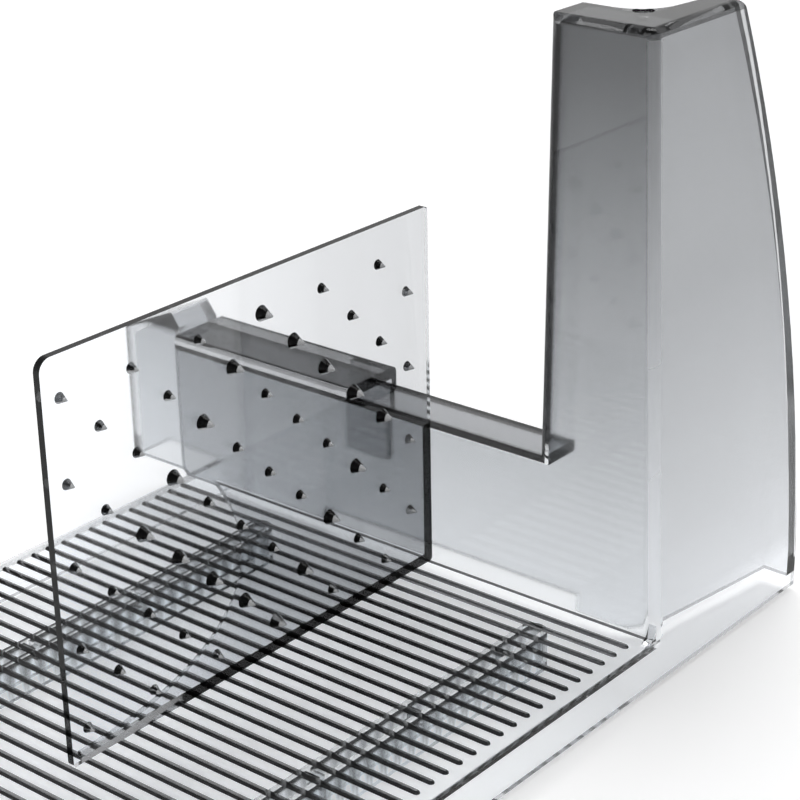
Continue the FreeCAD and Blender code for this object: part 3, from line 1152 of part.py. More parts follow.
STOP_LOW = "(tray_top + stop_lift)"
stop_sheet = rounded(
    "stop_sheet", ("stop_gap", "-house_start + 8", STOP_LOW), ("stop_thick", "house_start - start - 8", "stop_height"),
    [("stop_corner", lambda e, b: along("X")(e, b) and e.CenterOfMass.z > b.ZMax - 1 and e.CenterOfMass.y > b.YMax - 1)])
blade_room = rod(
    "blade_room", ("stop_gap - 1", BLADE_Y, BLADE_Z), "blade_radius + 2", "stop_thick + 2", "X")
GAUGE_MID = "(-start - gauge_start - gauge_depth / 2)"
BRACKET_Z = "(foot_height + base_thick + 6)"
stop_screw_places = [
    (GAUGE_MID + " - gauge_depth / 2 + 5", "guide_height + guide_radius + 6"),
    (GAUGE_MID + " + gauge_depth / 2 - 5", "guide_height + guide_radius + 6"),
]
bracket_screws = [
    turned("bracket_screw_%d" % i, [
        ("0", "0"), ("screw_radius + stop_thick / 2", "0"), ("screw_radius", "stop_thick / 2"),
        ("screw_radius", "stop_thick + bracket_thick"), ("0", "stop_thick + bracket_thick"),
    ], ("stop_gap", ) + place)
    for i, place in enumerate(stop_screw_places)]
bracket_voids = [
    [turned("screw_void_%d_%d" % (k, i), [
        ("0", "0"), ("screw_radius + stop_thick / 2", "0"), ("screw_radius", "stop_thick / 2"),
        ("screw_radius", "stop_thick + bracket_thick"), ("0", "stop_thick + bracket_thick"),
    ], ("stop_gap", ) + place)
        for i, place in enumerate(stop_screw_places)]
    for k in range(2)]
node(cut("stop", stop_sheet, [blade_room] + bracket_voids[0]), "stop_plate")
BRACKET_X = "(stop_gap + stop_thick)"
bracket_slab = block(
    "bracket_slab", (BRACKET_X, GAUGE_MID + " - gauge_depth / 2", BRACKET_Z),
    ("bracket_thick", "gauge_depth", "guide_height + guide_radius + 11 - " + BRACKET_Z))
node(cut("bracket", bracket_slab, bracket_voids[1]), "stop_bracket")
node(group("bracket_screw_pair", bracket_screws), "bracket_screws")
ROD_X = "(stop_gap + stop_thick + bracket_thick)"
ROD_Y = [GAUGE_MID + " - guide_spacing / 2", GAUGE_MID + " + guide_spacing / 2"]
node(group("rods", [
    rod("guide_%d" % i, (ROD_X, y, "guide_height"), "guide_radius", "guide_length", "X")
    for i, y in enumerate(ROD_Y)]), "guide_rods")
PINION = "(pinion_teeth * rack_pitch / (2 * pi))"


def rack_shape():
    """Toothed bar along X, teeth down, from its left end; its pitch line is at z = 0."""
    module = s.rack_pitch / math.pi
    half = s.rack_pitch / 4 - RACK_SLACK
    tip = 0.95 * module
    root = 1.2 * module
    x_pinion = s.gauge_left + s.spindle_from_left - (s.stop_gap + s.stop_thick + s.bracket_thick)
    first = x_pinion % s.rack_pitch
    near = -s.rack_width / 2
    points = [V(0, near, root + s.rack_deep), V(0, near, root)]
    for k in range(1, int(s.rack_length / s.rack_pitch) - 1):
        x = first + k * s.rack_pitch
        wide = half + root * PRESSURE
        thin = half - tip * PRESSURE
        points += [V(x - wide, near, root), V(x - thin, near, -tip), V(x + thin, near, -tip), V(x + wide, near, root)]
    points += [V(s.rack_length, near, root), V(s.rack_length, near, root + s.rack_deep)]
    return Part.Face(Part.makePolygon(points + points[:1])).extrude(V(0, s.rack_width, 0))


def pinion_shape():
    """Knob's spindle along its own Z, from the far end; teeth in the rack's middle."""
    module = s.rack_pitch / math.pi
    pitch = s.pinion_teeth * s.rack_pitch / math.tau
    phase = math.pi / s.pinion_teeth - math.pi / 2
    points = toothed(int(s.pinion_teeth), module, pitch - 1.15 * module, pitch + 0.85 * module, RACK_SLACK, phase)
    teeth = Part.Face(wheel_wire(points, 0, 0)).extrude(V(0, 0, s.rack_width + 4))
    teeth.translate(V(0, 0, s.gauge_depth / 2 - s.rack_width / 2 - 2 - s.gauge_wall))
    thin = pitch - 1.2 * module
    outer = s.gauge_depth - s.gauge_wall + s.dial_thick + s.sheet_gap
    pin = Part.makeCylinder(thin, outer, V(0, 0, 0))
    thick = Part.makeCylinder(SPINDLE_RADIUS, outer - s.gauge_depth * 0.72, V(0, 0, s.gauge_depth * 0.72))
    end = Part.makeCylinder(thin, s.knob_thick - 3, V(0, 0, outer))
    return pin.fuse([teeth, thick, end]).removeSplitter()


RACK_SLACK = 0.12
SPINDLE_RADIUS = 3.0
rack = shaped("rack", rack_shape())
node(put(rack, (ROD_X, GAUGE_MID, "spindle_height + " + PINION)), "thickness_rack")
GAUGE_FAR = "(-start - gauge_start - gauge_depth)"
spindle = shaped("spindle", pinion_shape())
spindle.Placement = FreeCAD.Placement(V(), TURN["Y"])
node(put(spindle, (SPINDLE_X, GAUGE_FAR + " + gauge_wall", "spindle_height")), "knob_spindle")

# Gauge box, its bushes and knob

gauge_block = rounded(
    "gauge_block", ("gauge_left", GAUGE_FAR, BASE_TOP), ("gauge_width", "gauge_depth", "gauge_rise"),
    [("gauge_round", lambda e, b: e.CenterOfMass.z > b.ZMax - 0.1 or along("Z")(e, b))])
gauge_room = rounded(
    "gauge_room", ("gauge_left + gauge_wall", GAUGE_FAR + " + gauge_wall", BASE_TOP + " - 1"),
    ("gauge_width - 2 * gauge_wall", "gauge_depth - 2 * gauge_wall", "gauge_rise - gauge_wall + 1"),
    [("gauge_round - gauge_wall", lambda e, b: e.CenterOfMass.z > b.ZMax - 0.1 or along("Z")(e, b))])
spindle_boss = rod("spindle_boss", (SPINDLE_X, GAUGE_FAR + " + 1", "spindle_height"), "6", "gauge_wall + 5", "Y")
gauge_holes = [
    rod("spindle_bore", (SPINDLE_X, GAUGE_FAR + " + gauge_wall - sheet_gap", "spindle_height"),
        PINION + " - 1.2 * rack_pitch / pi + running_fit", "8", "Y"),
    rod("front_bore", (SPINDLE_X, "-start - gauge_start - gauge_wall - 1", "spindle_height"),
        "%g + running_fit" % SPINDLE_RADIUS, "gauge_wall + 2", "Y"),
    block("rack_slot", (
        "gauge_left - 1", GAUGE_MID + " - rack_width / 2 - 1", "spindle_height + %s - rack_pitch / 2 - 0.6" % PINION),
        ("gauge_wall + 2", "rack_width + 2", "rack_deep + rack_pitch + 2")),
]
gauge_holes += [
    rod("guide_hole_%d" % i, ("gauge_left - 1", y, "guide_height"), "guide_radius + bush_wall", "gauge_wall + 2", "X")
    for i, y in enumerate(ROD_Y)]
gauge_hollow = cut("gauge_hollow", gauge_block, [gauge_room])
node(cut("gauge", join("gauge_sum", [gauge_hollow, spindle_boss]), gauge_holes), "gauge_box")
node(group("guide_bush_pair", [
    tube("guide_bush_%d" % i, ("gauge_left", y, "guide_height"), "guide_radius + bush_wall",
         "guide_radius + running_fit", "bush_length + gauge_wall", "X")
    for i, y in enumerate(ROD_Y)]), "guide_bushes")
GAUGE_FACE = "(-start - gauge_start)"
node(tube("dial", (SPINDLE_X, GAUGE_FACE, "spindle_height"), "dial_radius", "%g + sheet_gap" % SPINDLE_RADIUS,
          "dial_thick", "Y"), "dial_ring")
KNOB_Y = "(-start - gauge_start + dial_thick + sheet_gap)"
knob_disc = turned("knob_disc", [
    ("0", "0"), ("knob_radius", "0"), ("knob_radius", "3"), ("knob_radius - 1.5", "4"),
    ("knob_radius - 2.5", "knob_thick - 1"), ("knob_radius - 3.5", "knob_thick"), ("0", "knob_thick"),
], (SPINDLE_X, KNOB_Y, "spindle_height"), "Y")
flutes = [
    rod("flute_%d" % i, (
        SPINDLE_X + " + (knob_radius + 0.6) * cos(%g)" % (i * 20), KNOB_Y + " + 4",
        "spindle_height + (knob_radius + 0.6) * sin(%g)" % (i * 20)), "2.2", "knob_thick", "Y")
    for i in range(18)]
knob_bore = rod("knob_bore", (SPINDLE_X, KNOB_Y + " - 1", "spindle_height"),
                PINION + " - 1.2 * rack_pitch / pi", "knob_thick - 2", "Y")
pointer = block("pointer", (SPINDLE_X + " - 0.6", KNOB_Y + " + knob_thick - 0.8", "spindle_height + 5"),
                ("1.2", "2", "knob_radius"))
node(cut("knob", knob_disc, flutes + [knob_bore, pointer]), "thickness_knob")

# Switches, their bracket, cord inlet and terminals

bezel_block = rounded("bezel_block", (
    "control_x - %s / 2 - bezel_wall" % BEZEL_WIDE, "-house_start",
    ROCKER_Z + " - %s / 2 - bezel_wall" % BEZEL_TALL),
    (BEZEL_WIDE + " + 2 * bezel_wall", "proud", BEZEL_TALL + " + 2 * bezel_wall"), [("2", along("Y"))])
bezel_neck = block("bezel_neck", (
    "control_x - %s / 2 - bezel_wall / 2" % BEZEL_WIDE, "-house_start - house_wall",
    ROCKER_Z + " - %s / 2 - bezel_wall / 2" % BEZEL_TALL),
    (BEZEL_WIDE + " + bezel_wall", "house_wall", BEZEL_TALL + " + bezel_wall"))
bezel_opening = block("bezel_opening", (
    "control_x - %s / 2" % BEZEL_WIDE, "-house_start - house_wall - 1", ROCKER_Z + " - %s / 2" % BEZEL_TALL),
    (BEZEL_WIDE, "house_wall + proud + 2", BEZEL_TALL))
node(cut("bezel", join("bezel_sum", [bezel_block, bezel_neck]), [bezel_opening]), "rocker_bezel")
rocker = padded("rocker", "YZ_Plane", [
    ("1.6", "0"), ("3.4", "rocker_tall / 2 - 1.5"), ("2.6", "rocker_tall / 2"), ("-rocker_deep / 2", "rocker_tall / 3"),
    ("-rocker_deep / 2", "-rocker_tall / 3"), ("2.6", "-rocker_tall / 2"), ("3.4", "-rocker_tall / 2 + 1.5"),
], "rocker_wide")
rocker.Placement = FreeCAD.Placement(V(), FreeCAD.Rotation(V(1, 0, 0), -7))
node(put(rocker, ("control_x - rocker_wide / 2", "-house_start", ROCKER_Z)), "switch_rocker")
BRACKET_Y = "(-house_start - house_wall - 19)"
node(block("rocker_switch_body", (
    "control_x - rocker_wide / 2 - 3", BRACKET_Y, ROCKER_Z + " - rocker_tall / 2 - 3"),
    ("rocker_wide + 6", "19 - rocker_deep / 2", "rocker_tall + 6")), "rocker_switch")
bracket_plate = rounded(
    "bracket_plate", ("control_x - bracket_half", BRACKET_Y + " - bracket_sheet", BASE_TOP),
    ("2 * bracket_half", "bracket_sheet", ROCKER_Z + " + rocker_tall / 2 + 5 - " + BASE_TOP),
    [("4", lambda e, b: along("Y")(e, b) and e.CenterOfMass.z > b.ZMax - 1)])
bracket_foot = block(
    "bracket_foot", ("control_x - bracket_half", BRACKET_Y + " - bracket_half", BASE_TOP),
    ("2 * bracket_half", "bracket_half", "bracket_sheet"))
node(join("switch_plate", [bracket_plate, bracket_foot]), "switch_bracket")
collar_tube = tube("collar_tube", ("control_x", "-house_start - house_wall", BUTTON_Z),
                   "button_radius + 2.2", "button_radius + sheet_gap", "house_wall + proud", "Y")
collar_rim = tube("collar_rim", ("control_x", "-house_start", BUTTON_Z),
                  "button_radius + 4", "button_radius + 1", "proud", "Y")
node(join("collar", [collar_tube, collar_rim]), "button_collar")
BUTTON_LONG = "(button_proud + house_wall + proud + 6)"
BUTTON_FLANGE = "(house_wall + sheet_gap)"
button_points = [
    ("0", "button_proud + proud"), ("button_radius - 1.5", "button_proud + proud"),
    ("button_radius", "button_proud + proud - 1.5"), ("button_radius", "-" + BUTTON_FLANGE),
    ("button_radius + 1.5", "-" + BUTTON_FLANGE), ("button_radius + 1.5", "-%s - 2" % BUTTON_FLANGE),
    ("button_radius", "-%s - 2" % BUTTON_FLANGE), ("button_radius", "-%s - 5" % BUTTON_FLANGE),
    ("button_radius - 1.5", "-%s - 5" % BUTTON_FLANGE), ("button_radius - 1.5", "button_proud - 1"),
    ("0", "button_proud - 1"),
]
node(turned("button", button_points, ("control_x", "-house_start", BUTTON_Z), "Y"), "safety_button")


def spring_shape():
    """Button spring along its own Z, at its pressed length, with flat ground ends."""
    reach = s.button_radius - 1.5 - 1.2
    length = 19 + s.house_wall + s.button_proud - 1 - s.button_travel - 1.2 - s.spring_wire
    helix = Part.makeHelix(length / s.spring_turns, length, reach - s.spring_wire)
    wire = Part.Wire([Part.Circle(V(reach - s.spring_wire, 0, 0), V(0, 1, 0.15), s.spring_wire).toShape()])
    coil = Part.Wire(helix.Edges).makePipeShell([wire], True, True)
    coil.translate(V(0, 0, s.spring_wire))
    seat = Part.makeCylinder(1.2, 6).fuse(Part.makeCylinder(reach + 0.3, 1))
    return coil.fuse(seat)


spring = shaped("spring", spring_shape())
spring.Placement = FreeCAD.Placement(V(), TURN["Y"])
node(put(spring, ("control_x", BRACKET_Y, BUTTON_Z)), "button_spring")
node(block("safety_switch_body", (
    "control_x - 8", BRACKET_Y, BUTTON_Z + " - button_radius - 12"), ("16", "12", "9")), "safety_switch")
gland_flange = tube("gland_flange", ("control_x", HOUSE_FAR + " - 3", "gland_height"), "gland_radius + 2",
                    "cord_radius", "3", "Y")
gland_neck = tube("gland_neck", ("control_x", HOUSE_FAR + " - gland_long", "gland_height"), "gland_radius - 2",
                  "cord_radius", "gland_long", "Y")
gland_body = tube("gland_body", ("control_x", HOUSE_FAR + " - 3", "gland_height"), "gland_radius - 1.5",
                  "cord_radius", "house_wall + 3 + 2", "Y")
gland_nut = tube("gland_nut", ("control_x", HOUSE_FAR + " + house_wall", "gland_height"), "gland_radius + 1",
                 "cord_radius", "3", "Y")
node(join("gland", [gland_flange, gland_neck, gland_body, gland_nut]), "cord_gland")
terminal_body = block("terminal_body", ("control_x - 15", HOUSE_FAR + " + 24", BASE_TOP), ("30", "16", "13"))
terminal_holes = [
    rod("terminal_hole_%d" % i, ("control_x - 9 + %d" % (9 * i), HOUSE_FAR + " + 23", BASE_TOP + " + 6"), "2", "18", "Y")
    for i in range(3)]
node(cut("terminals", terminal_body, terminal_holes), "terminal_block")

doc.recompute()

faults = [o.Name for o in doc.Objects if "Invalid" in o.State or "Error" in o.State]
for label, thing in nodes.items():
    if thing.Shape.isNull() or not thing.Shape.isValid() or not thing.Shape.Solids:
        faults.append(label)
if faults:
    raise RuntimeError("faulty objects: " + ", ".join(faults))

os.makedirs("parts", exist_ok=True)
for label, thing in nodes.items():
    thing.Shape.exportStep("parts/%s.step" % label)
doc.saveAs("meat_slicer.FCStd")
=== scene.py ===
"""Looks of the food slicer: the clear carriage with its remnant holder, and the machine that it runs on."""

import json
import math
from functools import partial

import bmesh
import bpy
from bpy.props import FloatProperty, FloatVectorProperty, IntProperty, PointerProperty
from mathutils import Euler, Matrix, Vector

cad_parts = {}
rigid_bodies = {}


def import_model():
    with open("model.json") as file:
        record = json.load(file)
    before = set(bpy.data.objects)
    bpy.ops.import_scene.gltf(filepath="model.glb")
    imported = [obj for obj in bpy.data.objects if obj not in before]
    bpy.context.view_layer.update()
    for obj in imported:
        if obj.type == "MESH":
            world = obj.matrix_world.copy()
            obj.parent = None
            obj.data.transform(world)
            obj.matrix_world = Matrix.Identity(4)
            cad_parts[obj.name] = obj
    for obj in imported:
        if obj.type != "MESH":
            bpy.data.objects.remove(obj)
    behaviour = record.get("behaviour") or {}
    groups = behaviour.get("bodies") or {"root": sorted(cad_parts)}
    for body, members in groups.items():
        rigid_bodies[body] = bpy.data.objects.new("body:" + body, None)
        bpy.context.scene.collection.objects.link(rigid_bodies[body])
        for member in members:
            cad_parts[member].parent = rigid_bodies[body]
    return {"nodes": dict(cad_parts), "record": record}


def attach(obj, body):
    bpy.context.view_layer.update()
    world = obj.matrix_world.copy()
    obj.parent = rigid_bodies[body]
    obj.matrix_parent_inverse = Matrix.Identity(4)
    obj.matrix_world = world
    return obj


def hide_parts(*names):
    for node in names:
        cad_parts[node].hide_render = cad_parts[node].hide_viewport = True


bl_info = {
    "name": "Food slicer looks",
    "version": (1, 0, 0),
    "blender": (4, 5, 0),
    "location": "View3D > Sidebar > Slicer",
    "description": "Builds the finished surfaces, markings and studio of an electric food slicer",
    "category": "Object",
}

for thing in list(bpy.data.objects):
    bpy.data.objects.remove(thing)
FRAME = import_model()

MM = 0.001
# The tray's corner at the foot of the thumb guard, on its floor. Places are in mm from it:
# X towards the blade, Y towards the operator and Z up
CORNER = Vector((18.75, 258.4, 13.6))


def at(x, y, z):
    """A place in metres from millimetres measured from the tray's corner."""
    return (Vector((x, y, z)) + CORNER) * MM


def colour(code):
    """A linear colour from a hex code as seen on screen, or from the panel's colour of that name."""
    if code[0] != "#":
        return (*getattr(bpy.context.scene.slicer_colours, code), 1.0)
    parts = [int(code[i:i + 2], 16) / 255 for i in (1, 3, 5)]
    return tuple(c / 12.92 if c <= 0.04045 else ((c + 0.055) / 1.055) ** 2.4 for c in parts) + (1.0,)


def grey(share):
    """A faintly cool grey that lets a share of the light through."""
    return (share * 0.985, share, min(1.0, share * 1.02), 1.0)


def add(tree, kind, inputs=None, stops=(), **settings):
    """Add a node with its settings; an input takes a value, or the socket that feeds it."""
    node = tree.nodes.new(kind)
    for key, value in settings.items():
        setattr(node, key, value)
    for key, value in (inputs or {}).items():
        if isinstance(value, bpy.types.NodeSocket):
            tree.links.new(value, node.inputs[key])
        else:
            node.inputs[key].default_value = value
    if stops:
        elements = node.color_ramp.elements
        while len(elements) < len(stops):
            elements.new(0.5)
        for element, (place, tone) in zip(elements, stops):
            element.position = place
            element.color = tone if isinstance(tone, tuple) else colour(tone)
    return node


# Materials


def new_material(name):
    """An empty material, its node tree and the place on the piece that its patterns read."""
    material = bpy.data.materials.new(name)
    material.use_nodes = True
    tree = material.node_tree
    tree.nodes.clear()
    return material, tree, add(tree, "ShaderNodeTexCoord").outputs["Object"]


def surface(material, inputs):
    """Give a material its surface, from what goes into the Principled shader."""
    tree = material.node_tree
    shader = add(tree, "ShaderNodeBsdfPrincipled", inputs)
    add(tree, "ShaderNodeOutputMaterial", {"Surface": shader.outputs[0]})
    return material


def per(size):
    """A texture's scale from the size in mm of what it draws."""
    return 1 / (size * MM)


def uneven(tree, spot, size, low, high, detail=3.0):
    """A number that wanders between low and high over patches of a size in mm."""
    patch = add(tree, "ShaderNodeTexNoise", {"Vector": spot, "Scale": per(size), "Detail": detail})
    return add(
        tree, "ShaderNodeMapRange",
        {"Value": patch.outputs["Fac"], "To Min": low, "To Max": high}).outputs["Result"]


def relief(tree, spot, size, strength, depth, detail=3.0):
    """A surface that dips and rises over a size in mm, by a depth in mm."""
    height = add(tree, "ShaderNodeTexNoise", {"Vector": spot, "Scale": per(size), "Detail": detail})
    return add(
        tree, "ShaderNodeBump",
        {"Height": height.outputs["Fac"], "Strength": strength, "Distance": depth * MM}).outputs["Normal"]


def tint_and_shade_along(tree, spot, axis, tones):
    """A tint from a list of places in mm along an axis and the share of light let through there; most lists hold
    painted shade besides the smoke's own tint.
    """
    low, high = tones[0][0], tones[-1][0]
    start = getattr(CORNER, axis.lower())
    along = add(tree, "ShaderNodeSeparateXYZ", {"Vector": spot}).outputs[axis]
    run = add(tree, "ShaderNodeMapRange", {
        "Value": along, "From Min": (low + start) * MM, "From Max": (high + start) * MM}).outputs["Result"]
    stops = [((place - low) / (high - low), grey(share)) for place, share in tones]
    return add(tree, "ShaderNodeValToRGB", {"Fac": run}, stops).outputs["Color"]


# Clear moulded SAN bends light more than this, but at its own IOR the guard's thin edges would go
# black in a plain studio. The two sides of a wall share their IOR, or the wall goes black as well
CLEAR_IOR = 1.32
# Slow changes in a moulded wall's gloss and flatness, in mm
GLOSS_PATCH = 111.0
FLOW_WAVE = 35.7
FLOW_DEPTH = 1.0


def clear_plastic(name, tones, roughness=0.03, wave=0.04, axis="Z", ior=CLEAR_IOR):
    """Clear moulded plastic whose smoke tint, with the painted shade in the tones, follows the tones along an axis.
    """
    material, tree, spot = new_material(name)
    return surface(material, {
        "Base Color": tint_and_shade_along(tree, spot, axis, tones),
        "Roughness": uneven(tree, spot, GLOSS_PATCH, roughness * 0.6, roughness * 1.4, 1.0),
        "Normal": relief(tree, spot, FLOW_WAVE, wave, FLOW_DEPTH, 1.0),
        "IOR": ior, "Transmission Weight": 1.0})


def front_plastic(name, tones, left, lean, dark, ledge, edge_width=6.0):
    """The guard's front, with painted shade: a dark band along its left edge, leaning by lean, above the ledge."""
    material, tree, spot = new_material(name)
    split = add(tree, "ShaderNodeSeparateXYZ", {"Vector": spot}).outputs
    upright = add(tree, "ShaderNodeMath", {0: split["Z"], 1: -lean, 2: split["X"]}, operation="MULTIPLY_ADD")
    start = (left + CORNER.x - lean * CORNER.z) * MM
    aside = add(tree, "ShaderNodeMapRange", {
        "Value": upright.outputs[0], "From Min": start, "From Max": start + edge_width * MM})
    # Painted shade: a dark band that fades out across the edge's width
    edge = add(
        tree, "ShaderNodeValToRGB", {"Fac": aside.outputs["Result"]},
        [(0.0, grey(dark)), (0.55, grey(dark * 2)), (0.72, grey(0.75)), (1.0, grey(1.0))])
    above = add(tree, "ShaderNodeMapRange", {
        "Value": split["Z"], "From Min": (ledge[0] + CORNER.z) * MM, "From Max": (ledge[1] + CORNER.z) * MM})
    kept = add(
        tree, "ShaderNodeMix", {0: above.outputs["Result"], 6: grey(1.0), 7: edge.outputs["Color"]},
        data_type="RGBA")
    both = add(
        tree, "ShaderNodeMix", {0: 1.0, 6: tint_and_shade_along(tree, spot, "Z", tones), 7: kept.outputs[2]},
        data_type="RGBA", blend_type="MULTIPLY")
    return surface(material, {
        "Base Color": both.outputs[2],
        "Roughness": uneven(tree, spot, GLOSS_PATCH, 0.02, 0.04, 1.0),
        "Normal": relief(tree, spot, FLOW_WAVE, 0.04, FLOW_DEPTH, 1.0),
        "IOR": CLEAR_IOR, "Transmission Weight": 1.0})


def runner_plastic(name, pitch, top, deep):
    """The runners below the tray, with painted shade: dark where they join it, then painted images of the ribs hang
    down as spikes.
    """
    material, tree, spot = new_material(name)
    split = add(tree, "ShaderNodeSeparateXYZ", {"Vector": spot}).outputs
    half = pitch / 2 * MM
    comb = add(tree, "ShaderNodeMath", {0: split["Y"], 1: half}, operation="PINGPONG")
    width = add(tree, "ShaderNodeMapRange", {"Value": comb.outputs[0], "From Max": half})
    depth = add(tree, "ShaderNodeMapRange", {
        "Value": split["Z"], "From Min": (top + CORNER.z) * MM, "From Max": (top - deep + CORNER.z) * MM})
    reach = add(
        tree, "ShaderNodeMath", {0: width.outputs["Result"], 1: depth.outputs["Result"]}, operation="SUBTRACT")
    soft = add(tree, "ShaderNodeMapRange", {"Value": reach.outputs[0], "From Min": -0.2, "From Max": 0.25})
    # Painted shade: the ribs' images, dark spikes that taper down the runner
    spikes = add(
        tree, "ShaderNodeValToRGB", {"Fac": soft.outputs["Result"]}, [(0.0, grey(0.97)), (1.0, grey(0.42))])
    # Painted shade: nearly black where the runner joins the tray
    rim = add(
        tree, "ShaderNodeValToRGB", {"Fac": depth.outputs["Result"]},
        [(0.0, grey(0.002)), (0.1, grey(0.01)), (0.16, grey(1.0)), (1.0, grey(1.0))])
    both = add(
        tree, "ShaderNodeMix", {0: 1.0, 6: spikes.outputs["Color"], 7: rim.outputs["Color"]},
        data_type="RGBA", blend_type="MULTIPLY")
    return surface(material, {
        "Base Color": both.outputs[2],
        "Roughness": uneven(tree, spot, 16.7, 0.05, 0.14),
        "Normal": relief(tree, spot, 11.1, 0.15, FLOW_DEPTH, 2.0),
        "IOR": 1.12, "Transmission Weight": 1.0})


def plastic(name, tone, dark, roughness, grain, bump, coat=0.0):
    """Opaque moulded plastic or enamel: faint clouds, an even gloss and a grain of a size in mm."""
    material, tree, spot = new_material(name)
    cloud = add(tree, "ShaderNodeTexNoise", {"Vector": spot, "Scale": per(71.4), "Detail": 4.0})
    tint = add(tree, "ShaderNodeValToRGB", {"Fac": cloud.outputs["Fac"]}, [(0.3, dark), (0.7, tone)])
    return surface(material, {
        "Base Color": tint.outputs["Color"],
        "Roughness": uneven(tree, spot, 16.7, roughness * 0.85, roughness * 1.2),
        "Normal": relief(tree, spot, grain, bump, 0.2, 2.0),
        "Coat Weight": coat, "Coat Roughness": 0.12, "IOR": 1.5})


def lined_metal(tree, material, lines, stops, roughness, strength, depth):
    """A metal surface whose tint, gloss and relief all follow one pattern of lines."""
    tint = add(tree, "ShaderNodeValToRGB", {"Fac": lines}, stops)
    gloss = add(tree, "ShaderNodeMapRange", {"Value": lines, "To Min": roughness[0], "To Max": roughness[1]})
    bump = add(tree, "ShaderNodeBump", {"Height": lines, "Strength": strength, "Distance": depth * MM})
    return surface(material, {
        "Base Color": tint.outputs["Color"], "Roughness": gloss.outputs["Result"],
        "Normal": bump.outputs["Normal"], "Metallic": 1.0})


def brushed(name, tone, dark, roughness, grain):
    """Brushed or drawn metal: grain holds the size in mm of its lines along each axis."""
    material, tree, spot = new_material(name)
    along = add(tree, "ShaderNodeMapping", {"Vector": spot, "Scale": [per(size) for size in grain]})
    lines = add(
        tree, "ShaderNodeTexNoise",
        {"Vector": along.outputs["Vector"], "Scale": 1.0, "Detail": 5.0, "Roughness": 0.7})
    return lined_metal(
        tree, material, lines.outputs["Fac"], [(0.25, dark), (0.75, tone)],
        (roughness * 0.75, roughness * 1.3), 0.12, 0.1)


def turned_metal(name, tone, dark, centre, roughness, pitch):
    """Metal turned about the X axis through a centre: fine rings, seen as a fan of light."""
    material, tree, spot = new_material(name)
    arm = add(tree, "ShaderNodeVectorMath", {0: spot, 1: at(*centre)}, operation="SUBTRACT")
    flat = add(tree, "ShaderNodeVectorMath", {0: arm.outputs[0], 1: (0.0, 1.0, 1.0)}, operation="MULTIPLY")
    radius = add(tree, "ShaderNodeVectorMath", {0: flat.outputs[0]}, operation="LENGTH")
    ring = add(tree, "ShaderNodeCombineXYZ", {"X": radius.outputs["Value"]})
    rings = add(
        tree, "ShaderNodeTexNoise",
        {"Vector": ring.outputs[0], "Scale": per(pitch), "Detail": 3.0, "Roughness": 0.7})
    return lined_metal(
        tree, material, rings.outputs["Fac"], [(0.3, dark), (0.7, tone)],
        (roughness * 0.7, roughness * 1.5), 0.15, 0.08)


def layered(name, tone, dark, pitch, metallic, roughness):
    """Stacked sheets or wound wire: bands along the Y axis at a pitch in mm."""
    material, tree, spot = new_material(name)
    bands = add(
        tree, "ShaderNodeTexWave",
        {"Vector": spot, "Scale": math.tau / (20 * pitch * MM), "Distortion": 0.4}, bands_direction="Y")
    stripe = bands.outputs["Fac"]
    tint = add(tree, "ShaderNodeValToRGB", {"Fac": stripe}, [(0.1, dark), (0.6, tone)])
    gloss = add(tree, "ShaderNodeMapRange", {"Value": stripe, "To Min": roughness * 1.3, "To Max": roughness})
    bump = add(tree, "ShaderNodeBump", {"Height": stripe, "Strength": 0.5, "Distance": 0.2 * MM})
    return surface(material, {
        "Base Color": tint.outputs["Color"], "Roughness": gloss.outputs["Result"],
        "Normal": bump.outputs["Normal"], "Metallic": metallic})


def moulded_rubber(name):
    """Soft black rubber, dull and finely pitted."""
    material, tree, spot = new_material(name)
    specks = add(tree, "ShaderNodeTexNoise", {"Vector": spot, "Scale": per(2.5), "Detail": 4.0})
    tint = add(tree, "ShaderNodeValToRGB", {"Fac": specks.outputs["Fac"]}, [(0.3, "#1c1c1d"), (0.8, "#2e2e30")])
    gloss = add(tree, "ShaderNodeMapRange", {"Value": specks.outputs["Fac"], "To Min": 0.62, "To Max": 0.85})
    return surface(material, {
        "Base Color": tint.outputs["Color"], "Roughness": gloss.outputs["Result"],
        "Normal": relief(tree, spot, 0.67, 0.25, 0.2), "Specular IOR Level": 0.35})
